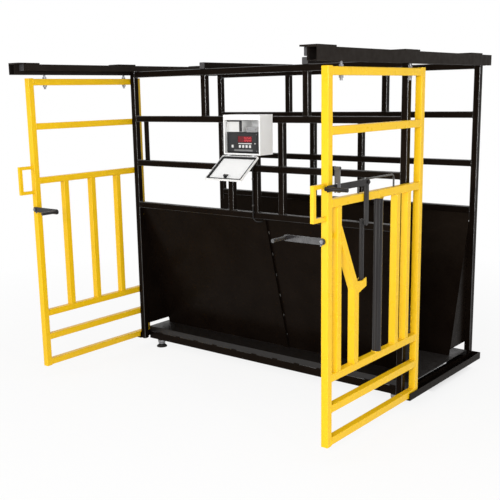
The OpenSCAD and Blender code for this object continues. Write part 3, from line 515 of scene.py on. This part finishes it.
# Beads end this far short of a tube's edges
FILLET_SHORT, SEAM_SHORT, ROOF_SHORT = 3, 1, 2
TUBE = 40
HALF_TUBE = TUBE / 2


def bead(shape, start, end, first, second, section=FILLET, size=WELD):
    """A rippled bead from start to end, thinner at both ends."""
    start, end = Vector(start), Vector(end)
    steps = max(FEWEST_RIPPLES, round((end - start).length / RIPPLE))
    rings = []
    for i in range(steps + 1):
        swell = (BEAD_MEAN + BEAD_WAVE * math.sin(WAVE_TURN * i)
                 + BEAD_DRIFT * math.sin(DRIFT_TURN * i + start.z))
        swell *= BEAD_END if i in (0, steps) else 1.0
        spot = start.lerp(end, i / steps)
        rings.append([spot + size * swell * (a * Vector(first) + b * Vector(second))
                      for a, b in section])
    shape.rings(rings)


def weld_tube(shape, centre, axis, flush, width=TUBE):
    """Beads round a square tube's end: raised where its sides run on flush, fillets elsewhere."""
    centre, side = Vector(centre), axis.cross(flush)
    reach = width / 2
    fillet = (reach - FILLET_SHORT) * flush
    seam = (reach - SEAM_SHORT) * side
    for sign in (-1, 1):
        foot = centre + sign * reach * side
        bead(shape, foot - fillet, foot + fillet, sign * side, axis)
        edge = centre + sign * reach * flush
        bead(shape, edge - seam, edge + seam, axis, sign * flush, RAISED)


def weld_ring(shape, centre, axis, radius):
    """A fillet round the end of a round tube."""
    centre = Vector(centre)
    first = axis.orthogonal().normalized()
    second = axis.cross(first)
    rings = []
    for i, turn in enumerate(turns(RING_RIPPLES)):
        out = math.cos(turn) * first + math.sin(turn) * second
        swell = WELD * (RING_MEAN + BEAD_WAVE * math.sin(WAVE_TURN * i))
        rings.append([centre + radius * out + swell * (a * out + b * axis) for a, b in FILLET])
    shape.rings(rings, closed=True)


def stitches(shape, start, end, first, second, row, section=FILLET):
    """Short beads spaced evenly along a line; a row is the length of one and their number."""
    start, end = Vector(start), Vector(end)
    length, count = row
    half = (end - start).normalized() * length / 2
    for i in range(count):
        middle = start.lerp(end, (i + 0.5) / count)
        bead(shape, middle - half, middle + half, first, second, section)


GATE_X = 1098
GATE_FRONT, GATE_BACK = -1340, -380
RAIL_LEVELS = [106, 278, 439, 1307, 1647, 1920]
BAR_LOW, BAR_HIGH = 459, 1287
LEFT_BARS = [-1090, -860, -630]
RIGHT_BARS = [-1236, -651, -534]
BENT_BAR = -1073
NECK_TUBE, NECK_RADIUS = -833, 24
HANDLE_LEVEL, HANDLE_SPAN, HANDLE_TUBE = 1315, 156, 20


def gate_welds(gate, x, bars):
    """Beads at the tube joints of a gate; the right one also has the neck lock's bars."""
    shape = Shape(gate + "_welds")
    for z in RAIL_LEVELS:
        weld_tube(shape, (x, GATE_FRONT + TUBE, z), Y, X)
        weld_tube(shape, (x, GATE_BACK - TUBE, z), -Y, X)
    for y in bars:
        weld_tube(shape, (x, y, BAR_LOW), Z, X)
        weld_tube(shape, (x, y, BAR_HIGH), -Z, X)
    for z in (HANDLE_LEVEL - HANDLE_SPAN / 2, HANDLE_LEVEL + HANDLE_SPAN / 2):
        weld_tube(shape, (x, GATE_FRONT, z), -Y, X, HANDLE_TUBE)
    if gate == "right_gate":
        weld_tube(shape, (x, BENT_BAR, BAR_LOW), Z, X)
        weld_ring(shape, (x, NECK_TUBE, BAR_LOW), Z, NECK_RADIUS)
        weld_ring(shape, (x, NECK_TUBE, BAR_HIGH), -Z, NECK_RADIUS)
    shape.finish("yellow_paint", gate)


POST_X, SIDE_Y = 1050, 465
SIDE_LEVELS = [1066, 1362, 1666, 1966]
ROOF_LOW, ROOF_HIGH = 1986, 2026
END_BACK = 485
TOP_UPRIGHTS = [-400, 400]
BOX_PLACE = 16
MID_UPRIGHTS = [BOX_PLACE - 200, BOX_PLACE + 200]


def post_welds(shape, y):
    """Beads between the tops of two posts and the end tubes that lie on them."""
    reach = HALF_TUBE - ROOF_SHORT
    for side in (-1, 1):
        for edge in (-1, 1):
            spot = Vector((side * POST_X, y + HALF_TUBE * edge, ROOF_LOW))
            if y + HALF_TUBE * edge < END_BACK:
                bead(shape, spot - reach * X, spot + reach * X, edge * Y, -Z)
            else:
                bead(shape, spot - reach * X, spot + reach * X, Z, edge * Y, RAISED)


def frame_welds():
    """Beads at the tube joints of the black frame."""
    shape = Shape("frame_welds")
    reach = HALF_TUBE - ROOF_SHORT
    for y in (-SIDE_Y, SIDE_Y):
        for z in SIDE_LEVELS:
            weld_tube(shape, (-POST_X + HALF_TUBE, y, z), X, Y)
            weld_tube(shape, (POST_X - HALF_TUBE, y, z), -X, Y)
        for x in TOP_UPRIGHTS:
            weld_tube(shape, (x, y, SIDE_LEVELS[2] + HALF_TUBE), Z, Y)
            weld_tube(shape, (x, y, SIDE_LEVELS[3] - HALF_TUBE), -Z, Y)
            for sign in (-1, 1):
                edge = x + HALF_TUBE * sign
                bead(shape, (edge, y - reach, ROOF_LOW), (edge, y + reach, ROOF_LOW), sign * X, Z)
        for x in MID_UPRIGHTS + ([BOX_PLACE] if y < 0 else []):
            for low, high in zip(SIDE_LEVELS[:2], SIDE_LEVELS[1:3]):
                weld_tube(shape, (x, y, low + HALF_TUBE), Z, Y)
                weld_tube(shape, (x, y, high - HALF_TUBE), -Z, Y)
        post_welds(shape, y)
    shape.finish("black_paint", "crate")


DECK_TOP, DECK_LOW, DECK_Y, DECK_END = 145, 107, 395, 1050
SHEET_TOP, SHEET_TOP_Y, SHEET_LOW_Y, SHEET_END = 1046, 460, 222, 1030
RIB_X, RIB_HALF, RIB_SHORT = 62, 22, 20
GUSSET_Y, GUSSET_LOW, GUSSET_HIGH = 445, 200, 960
TRACK_IN, TRACK_OUT = 1070, 1126
TRACK_WELD_FRONT, TRACK_WELD_BACK = -1380, 460
STRAPS = [(-1443, -1283), (-626, -466), (180, 340)]
# A strap's end in front of this lies level with the track's own end and has no bead
STRAP_WELD_FRONT = -1440
STRAP_WELD_IN, STRAP_WELD_OUT = TRACK_IN - 36, TRACK_OUT - 3
SHEET_ROW, RIB_ROW, GUSSET_ROW = (38, 13), (22, 6), (26, 6)
SKIRT_ROW, TRACK_ROW = (42, 12), (50, 7)


def sheet_welds():
    """Short beads along side sheets, ribs, gussets, deck and tracks, and at the tracks' straps."""
    shape, ribs = Shape("sheet_welds"), Shape("rib_welds")
    for side in (-1, 1):
        up = Vector((0, side * (SHEET_TOP_Y - SHEET_LOW_Y), SHEET_TOP - DECK_TOP)).normalized()
        low = Vector((0, side * SHEET_LOW_Y, DECK_TOP))
        high = Vector((0, side * SHEET_TOP_Y, SHEET_TOP))
        out = side * Vector((0, up.z, -side * up.y))
        stitches(shape, low - SHEET_END * X, low + SHEET_END * X, side * Y, up, SHEET_ROW)
        for edge in (-1, 1):
            corner = (RIB_X + edge * RIB_HALF) * X
            stitches(ribs, low + corner + RIB_SHORT * up, high + corner - RIB_SHORT * up,
                     edge * X, out, RIB_ROW)
            stitches(shape, (edge * SHEET_END, side * GUSSET_Y, GUSSET_LOW),
                     (edge * SHEET_END, side * GUSSET_Y, GUSSET_HIGH),
                     -side * Y, edge * X, GUSSET_ROW)
        skirt = Vector((0, side * DECK_Y, DECK_LOW))
        stitches(shape, skirt - DECK_END * X, skirt + DECK_END * X, Z, side * Y, SKIRT_ROW, RAISED)
        stitches(shape, (side * TRACK_IN, TRACK_WELD_FRONT, ROOF_LOW),
                 (side * TRACK_IN, TRACK_WELD_BACK, ROOF_LOW), -side * X, -Z, TRACK_ROW)
        for ends in STRAPS:
            for y, away in zip(ends, (-1, 1)):
                if y > STRAP_WELD_FRONT:
                    bead(shape, (side * STRAP_WELD_IN, y, ROOF_HIGH),
                         (side * STRAP_WELD_OUT, y, ROOF_HIGH), away * Y, Z, size=STRAP_WELD)
    ribs.finish("black_paint", "crate")
    shape.finish("black_paint", "crate", finish=WELD_BLACK)


gate_welds("left_gate", -GATE_X, LEFT_BARS)
gate_welds("right_gate", GATE_X, RIGHT_BARS)
frame_welds()
sheet_welds()


# Door of the indicator box: its pieces are placed with the door shut and swung open with it

HINGE_Y, HINGE_Z = -620, 1451
DOOR_ANGLE = math.radians(126)
DOOR_FRONT, DOOR_BACK = -628, -614
DOOR_X = (BOX_PLACE - 139, BOX_PLACE + 139)
DOOR_Z = (1459, 1673)
GASKET_INSET, GASKET_CORNER, GASKET_WIDE = 4, 16, 11
GASKET_CORNER_STEPS = 6
GASKET_LOW, GASKET_HIGH = DOOR_FRONT + 2, DOOR_BACK - 1
# Three ribs of foam: distance inward from the gasket's outer edge, and place across the door
GASKET_SECTION = [
    (0, GASKET_LOW), (0, GASKET_HIGH - 4), (2, GASKET_HIGH - 1), (4, GASKET_HIGH - 2),
    (5.5, GASKET_HIGH), (7, GASKET_HIGH - 2), (9, GASKET_HIGH - 1),
    (GASKET_WIDE, GASKET_HIGH - 4), (GASKET_WIDE, GASKET_LOW),
]
CAM_LEVEL = 1643
CAM_BACK = DOOR_FRONT - 4.3
CAM_FACE = CAM_BACK - 1.4
# Radius and place across the door of the cam lock's face, from its back to the key slot
CAM_PROFILE = [(10.5, CAM_BACK), (10.5, CAM_BACK - 0.8), (9.6, CAM_FACE), (4.4, CAM_FACE)]
CAM_STEPS = 32
KEY_HALF_WIDE, KEY_HALF_HIGH = 1.2, 3.8
KEY_FLOOR = CAM_BACK + 0.6


def swung(point):
    """A place on the shut door, on the open one."""
    y, z = point.y - HINGE_Y, point.z - HINGE_Z
    return Vector((point.x, HINGE_Y + y * math.cos(DOOR_ANGLE) - z * math.sin(DOOR_ANGLE),
                   HINGE_Z + y * math.sin(DOOR_ANGLE) + z * math.cos(DOOR_ANGLE)))


def rounded_loop(x, z, corner, steps):
    """Points of a rectangle with round corners in X and Z, with the outward direction at each."""
    points = []
    for i, (sx, sz) in enumerate([(1, 1), (-1, 1), (-1, -1), (1, -1)]):
        middle = Vector(((x[1] if sx > 0 else x[0]) - sx * corner, 0,
                         (z[1] if sz > 0 else z[0]) - sz * corner))
        for j in range(steps + 1):
            turn = math.pi / 2 * (i + j / steps)
            out = Vector((math.cos(turn), 0, math.sin(turn)))
            points.append((middle + corner * out, out))
    return points


def door_gasket():
    """Foam strip with a ribbed face inside the door's folded edge."""
    shape = Shape("door_gasket", swung)
    loop = rounded_loop(inset(DOOR_X, GASKET_INSET), inset(DOOR_Z, GASKET_INSET), GASKET_CORNER,
                        GASKET_CORNER_STEPS)
    shape.rings([[p - out * inward + Vector((0, y, 0)) for inward, y in GASKET_SECTION]
                 for p, out in loop], closed=True)
    shape.finish("rubber", "door")


def cam_ring(wide, high, y):
    """An oval about the cam lock's axis."""
    return [(BOX_PLACE + wide * math.cos(turn), y, CAM_LEVEL + high * math.sin(turn))
            for turn in turns(CAM_STEPS)]


def cam_face():
    """Plated face of the cam lock with its key slot, on the knob outside the door."""
    shape = Shape("cam_face", swung)
    rings = [cam_ring(radius, radius, y) for radius, y in CAM_PROFILE]
    rings += [cam_ring(KEY_HALF_WIDE, KEY_HALF_HIGH, y) for y in (CAM_FACE, KEY_FLOOR)]
    shape.rings(rings)
    shape.finish("zinc", "cam_lock", smooth=False)


door_gasket()
cam_face()


# Indicator: bezel, strips, lamp, screws and digits

METER_X, METER_Z, METER_FRONT = (-122, 124), (1466, 1594), -590
METER_SCREW_X, METER_SCREW_Z, METER_SCREW = 8.5, 14, 3
DISPLAY_X, DISPLAY_Z = (-31, 81), (1531.5, 1568.5)
DISPLAY_RIM = {"wide": 5, "thick": 2.2, "corner": 3.0}
METER_RIM_X, METER_RIM_Z = inset(METER_X, 12), inset(METER_Z, 11)
METER_RIM = {"wide": 3, "thick": 1.2, "corner": 8}
# Section of a raised rim in shares of its width and thickness
RIM_SECTION = [(0, 0), (0, 0.6), (0.3, 1), (0.8, 1), (1, 0.5), (1, 0)]
RANGE_X, RANGE_Z, RANGE_CORNER = (-28, 78), (1521.5, 1528), 1.5
CAPACITY_X, CAPACITY_Z, CAPACITY_CORNER = (-62, 84), (1474, 1488), 2.0
STRIP_THICK, STRIP_DISH = 0.8, 0.3
LAMP_X, LAMP_Z = 103, 1525
LAMP_STEPS = 20
# Radius and height of the lamp's lens, from its foot to its top
LAMP_LENS = [(4.0, 0), (3.8, 0.8), (2.8, 1.8), (1.2, 2.2)]
SMALL_CORNER_STEPS = 4
SCREW_STEPS = 24
# Shares of a screw's radius and of its head's height, from the foot to the flat top
SCREW_PROFILE = [(1.0, 0.0), (1.0, 0.35), (0.85, 0.75), (0.55, 0.95)]
SCREW_HEAD, SCREW_TOP, RECESS_DEPTH = 1.6, 0.95, 0.6
# The cross recess reaches further along its arms than between them
RECESS_ARMS, ARM_FROM = 4, 0.5
RECESS_LONG, RECESS_SHORT = 0.5, 0.16


def plate(shape, x, z, back, thick, corner, dish=0.6):
    """A thin plate with round corners and a bevelled edge, on the plane back, facing the front."""
    rings = []
    for shrink, y in ((0, back), (0, back - thick + dish), (dish, back - thick)):
        loop = rounded_loop(inset(x, shrink), inset(z, shrink), corner, SMALL_CORNER_STEPS)
        rings.append([Vector((p.x, y, p.z)) for p, _ in loop])
    shape.rings(rings)


def frame_round(shape, x, z, back, wide, thick, corner):
    """A raised frame round an opening."""
    section = [(wide * a, back - thick * b) for a, b in RIM_SECTION]
    shape.rings([[p + out * away + Vector((0, y, 0)) for away, y in section]
                 for p, out in rounded_loop(x, z, corner, SMALL_CORNER_STEPS)], closed=True)


def screw(shape, place, radius):
    """A domed screw head with a cross recess, facing the front."""
    place, out, across = Vector(place), -Y, X
    side = out.cross(across)
    rings = []
    for share, height in SCREW_PROFILE:
        rings.append([place + radius * share * (math.cos(turn) * across + math.sin(turn) * side)
                      + SCREW_HEAD * height * out for turn in turns(SCREW_STEPS)])
    recess = []
    for turn in turns(SCREW_STEPS):
        arm = RECESS_LONG if math.cos(RECESS_ARMS * turn) > ARM_FROM else RECESS_SHORT
        recess.append(place + radius * arm * (math.cos(turn) * across + math.sin(turn) * side)
                      + SCREW_HEAD * SCREW_TOP * out)
    rings.append(recess)
    rings.append([p - SCREW_HEAD * RECESS_DEPTH * out for p in recess])
    shape.rings(rings)


def meter_front():
    """Rims, blank strips, screws and lamp on the indicator's face."""
    bezel = Shape("display_bezel")
    frame_round(bezel, DISPLAY_X, DISPLAY_Z, METER_FRONT, **DISPLAY_RIM)
    frame_round(bezel, METER_RIM_X, METER_RIM_Z, METER_FRONT, **METER_RIM)
    bezel.finish("charcoal", "crate")
    strip = Shape("range_strip")
    plate(strip, RANGE_X, RANGE_Z, METER_FRONT, STRIP_THICK, RANGE_CORNER, STRIP_DISH)
    strip.finish("white_plastic", "crate")
    panel = Shape("capacity_strip")
    plate(panel, CAPACITY_X, CAPACITY_Z, METER_FRONT, STRIP_THICK, CAPACITY_CORNER, STRIP_DISH)
    panel.finish("white_plastic", "crate", finish=MID_GREY)
    screws = Shape("meter_screws")
    for x in inset(METER_X, METER_SCREW_X):
        for z in inset(METER_Z, METER_SCREW_Z):
            screw(screws, (x, METER_FRONT, z), METER_SCREW)
    screws.finish("zinc", "crate", smooth=False)
    lamp = Shape("stable_lamp")
    lamp.rings([[(LAMP_X + radius * math.cos(turn), METER_FRONT - height,
                  LAMP_Z + radius * math.sin(turn)) for turn in turns(LAMP_STEPS)]
                for radius, height in LAMP_LENS])
    lamp.finish("white_plastic", "crate")


# Place of each segment in half widths and half heights of a digit, and whether it lies level
SEGMENTS = {
    "top": ((0, 1), True), "middle": ((0, 0), True), "bottom": ((0, -1), True),
    "left_high": ((-1, 0.5), False), "right_high": ((1, 0.5), False),
    "left_low": ((-1, -0.5), False), "right_low": ((1, -0.5), False),
}
UNLIT_IN_ZERO = "middle"
DIGITS, ZEROS = 5, 3
DIGIT_WIDE, DIGIT_HIGH = 11.0, 22.0
DIGIT_MARGIN = 7
SEGMENT_LONG, SEGMENT_THIN = DIGIT_HIGH / 2 - 2.2, 2.6
SEGMENT_BACK, SEGMENT_THICK = METER_FRONT + 1, 0.4


def segment(shape, middle, level):
    """One bar of a digit, pointed at both ends."""
    tip, edge = SEGMENT_LONG / 2, SEGMENT_THIN / 2
    outline = [(-tip, 0), (-tip + edge, edge), (tip - edge, edge), (tip, 0),
               (tip - edge, -edge), (-tip + edge, -edge)]
    ring = [middle + (Vector((a, 0, b)) if level else Vector((b, 0, a))) for a, b in outline]
    shape.rings([[p + (SEGMENT_BACK - y) * Y for p in ring] for y in (0.0, SEGMENT_THICK)])


def digits():
    """A resting read-out: zeros at the right, unlit digits at the left."""
    shine, dull = Shape("digits_lit"), Shape("digits_dark")
    left, right = inset(DISPLAY_X, DIGIT_MARGIN)
    step = (right - left) / DIGITS
    for i in range(DIGITS):
        middle = Vector((left + (i + 0.5) * step, 0, sum(DISPLAY_Z) / 2))
        for name, ((a, b), level) in SEGMENTS.items():
            on = name != UNLIT_IN_ZERO and i >= DIGITS - ZEROS
            offset = Vector((a * DIGIT_WIDE / 2, 0, b * DIGIT_HIGH / 2))
            segment(shine if on else dull, middle + offset, level)
    shine.finish("display_red", "crate", smooth=False, finish=SEGMENT_LIT)
    dull.finish("display_red", "crate", smooth=False, finish=SEGMENT_DARK)


# Power module and terminal cover above the indicator; their faces lie in one plane

POWER_FRONT = -585
POWER_X, POWER_Z = (-122, 2), (1594, 1664)
# Thin charcoal bands lie on the power module's right side and along its top edge, darker than its
# white face
SIDE_BAND_X, SIDE_BAND_Z = (POWER_X[1] - 24, POWER_X[1] - 2), inset(POWER_Z, 1)
TOP_BAND_X, TOP_BAND_Z = (POWER_X[0] + 2, POWER_X[1] - 26), (POWER_Z[1] - 8, POWER_Z[1] - 1)
POWER_BAND_THICK, POWER_BAND_CORNER = 1.4, 1.5
COVER_X, COVER_Z = (35, 112), (1594, 1624)
COVER_THICK, COVER_CORNER = 1.0, 2.5
COVER_SCREW_X, COVER_SCREW = 8, 3.2


def power_details():
    """Thin charcoal bands along the power module's right side and top edge, and the terminal
    cover's face and screws.
    """
    bands = Shape("power_bands")
    for x, z in ((SIDE_BAND_X, SIDE_BAND_Z), (TOP_BAND_X, TOP_BAND_Z)):
        plate(bands, x, z, POWER_FRONT, POWER_BAND_THICK, POWER_BAND_CORNER)
    bands.finish("charcoal", "crate")
    face = Shape("cover_face")
    plate(face, inset(COVER_X, 1), inset(COVER_Z, 1), POWER_FRONT, COVER_THICK, COVER_CORNER)
    face.finish("white_plastic", "crate", finish=PALE_GREY)
    screws = Shape("cover_screws")
    for x in inset(COVER_X, COVER_SCREW_X):
        screw(screws, (x, POWER_FRONT - COVER_THICK, sum(COVER_Z) / 2), COVER_SCREW)
    screws.finish("zinc", "crate", smooth=False)


meter_front()
digits()
power_details()


# Feet: jam nuts on the load cells' studs

FOOT_X, FOOT_Y = 970, 375
NUT_LOW, NUT_HIGH, NUT_FLATS = 25, 34, 46
NUT_CHAMFER = 1.5
# Reach of the corners in widths across the flats: cut round at both ends, whole between
NUT_ROUND, NUT_WHOLE = 0.51, 1.0
NUT_STEPS = 36
SIXTH = math.pi / 3


def nut_ring(x, y, z, limit):
    """A hexagon with its corners cut off at the limit."""
    ring = []
    for turn in turns(NUT_STEPS):
        flat = 0.5 / math.cos((turn + SIXTH / 2) % SIXTH - SIXTH / 2)
        radius = NUT_FLATS * min(flat, limit)
        ring.append((x + radius * math.cos(turn), y + radius * math.sin(turn), z))
    return ring


def jam_nuts():
    shape = Shape("jam_nuts")
    levels = [(NUT_LOW, NUT_ROUND), (NUT_LOW + NUT_CHAMFER, NUT_WHOLE),
              (NUT_HIGH - NUT_CHAMFER, NUT_WHOLE), (NUT_HIGH, NUT_ROUND)]
    for x in (-FOOT_X, FOOT_X):
        for y in (-FOOT_Y, FOOT_Y):
            shape.rings([nut_ring(x, y, z, limit) for z, limit in levels])
    shape.finish("zinc", "crate", smooth=False)


jam_nuts()


# Floor, light and background, in metres from the crate's centre

FLOOR_EDGE = 30.0
FLOOR_COLOUR, FLOOR_ROUGHNESS = (0.92, 0.92, 0.92, 1.0), 0.9
WHITE = (1.0, 1.0, 1.0, 1.0)
# Share of plain white in the floor, and the distances between which it grows
WHITE_NEAR, WHITE_FAR = 0.87, 1.0
FLOOR_NEAR, FLOOR_FAR = 2.0, 4.6
# Under the deck the floor lies in plain shadow, which fades towards the edge of this zone
SHADE_MIDDLE = Vector((0.0, 0.20, 0.0))
SHADE_HALF = Vector((1.09, 0.29, 1.0))
SHADE_FADES_FROM = 0.8
LIGHTS = [
    # name, place, width, height, watts
    ("key", (-2.6, -6.2, 4.4), 2.6, 2.6, 66.0),
    ("fill", (3.0, -6.2, 2.5), 1.6, 1.6, 172.0),
    ("strip", (6.6, -3.4, 1.35), 0.5, 2.6, 115.0),
    ("top", (0.4, -0.8, 6.5), 3.0, 3.0, 50.0),
    ("front_low", (-1.5, -5.0, 0.42), 1.3, 0.7, 14.0),
]
AIM = (0.1, -0.5, 1.0)
AMBIENT = 0.52


def seen_directly(tree):
    """1 for camera, glossy and transmitted rays, and 0 for all others."""
    path = tree.nodes.new("ShaderNodeLightPath")
    seen = calculate(tree, "MAXIMUM", path.outputs["Is Camera Ray"], path.outputs["Is Glossy Ray"])
    return calculate(tree, "MAXIMUM", seen, path.outputs["Is Transmission Ray"])


def make_world():
    """White where it is seen, and softer where it lights the crate."""
    world = bpy.data.worlds.new("studio")
    bpy.context.scene.world = world
    world.use_nodes = True
    tree = world.node_tree
    background = tree.nodes["Background"]
    background.inputs["Color"].default_value = WHITE
    strength = spread(tree, seen_directly(tree), AMBIENT, 1.0, 0.0, 1.0)
    tree.links.new(strength, background.inputs["Strength"])


def floor_material():
    """Pale paint that keeps shadows, mixed with plain white where it is seen directly."""
    material, tree, shader = new_material("floor")
    set_inputs(shader, {"Base Color": FLOOR_COLOUR, "Roughness": FLOOR_ROUGHNESS,
                        "Specular IOR Level": 0.0})
    glow = tree.nodes.new("ShaderNodeEmission")
    glow.inputs["Color"].default_value = WHITE
    away = tree.nodes.new("ShaderNodeVectorMath")
    away.operation = "LENGTH"
    tree.links.new(object_place(tree), away.inputs[0])
    white = spread(tree, away.outputs["Value"], WHITE_NEAR, WHITE_FAR, FLOOR_NEAR, FLOOR_FAR)
    stretch = Vector([1 / half for half in SHADE_HALF])
    zone = object_place(tree, stretch, shift=-(CENTRE + SHADE_MIDDLE) * stretch)
    open_floor = spread(tree, longest_part(tree, zone), 0.0, 1.0, SHADE_FADES_FROM, 1.0)
    white = calculate(tree, "MULTIPLY", white, open_floor)
    mix = tree.nodes.new("ShaderNodeMixShader")
    tree.links.new(calculate(tree, "MULTIPLY", seen_directly(tree), white), mix.inputs["Fac"])
    tree.links.new(shader.outputs["BSDF"], mix.inputs[1])
    tree.links.new(glow.outputs["Emission"], mix.inputs[2])
    tree.links.new(mix.outputs["Shader"], tree.nodes["Material Output"].inputs["Surface"])
    return material


def make_floor():
    """A pale floor that keeps the crate's shadow close by and turns plain white further out."""
    mesh = bpy.data.meshes.new("floor")
    corners = [(FLOOR_EDGE * x, FLOOR_EDGE * y, 0) for x, y in ((-1, -1), (1, -1), (1, 1), (-1, 1))]
    mesh.from_pydata(corners, [], [(0, 1, 2, 3)])
    floor = in_scene("floor", mesh)
    mesh.materials.append(floor_material())


def make_lights():
    for name, place, width, height, watts in LIGHTS:
        data = bpy.data.lights.new(name, "AREA")
        data.shape = "RECTANGLE"
        data.size = width
        data.size_y = height
        data.energy = watts
        lamp = in_scene(name, data)
        lamp.location = CENTRE + Vector(place)
        beam = Vector(AIM) - Vector(place)
        lamp.rotation_euler = beam.to_track_quat("-Z", "Y").to_euler()
        lamp.visible_camera = False


make_world()
make_floor()
make_lights()
bpy.context.scene.view_settings.view_transform = "Standard"
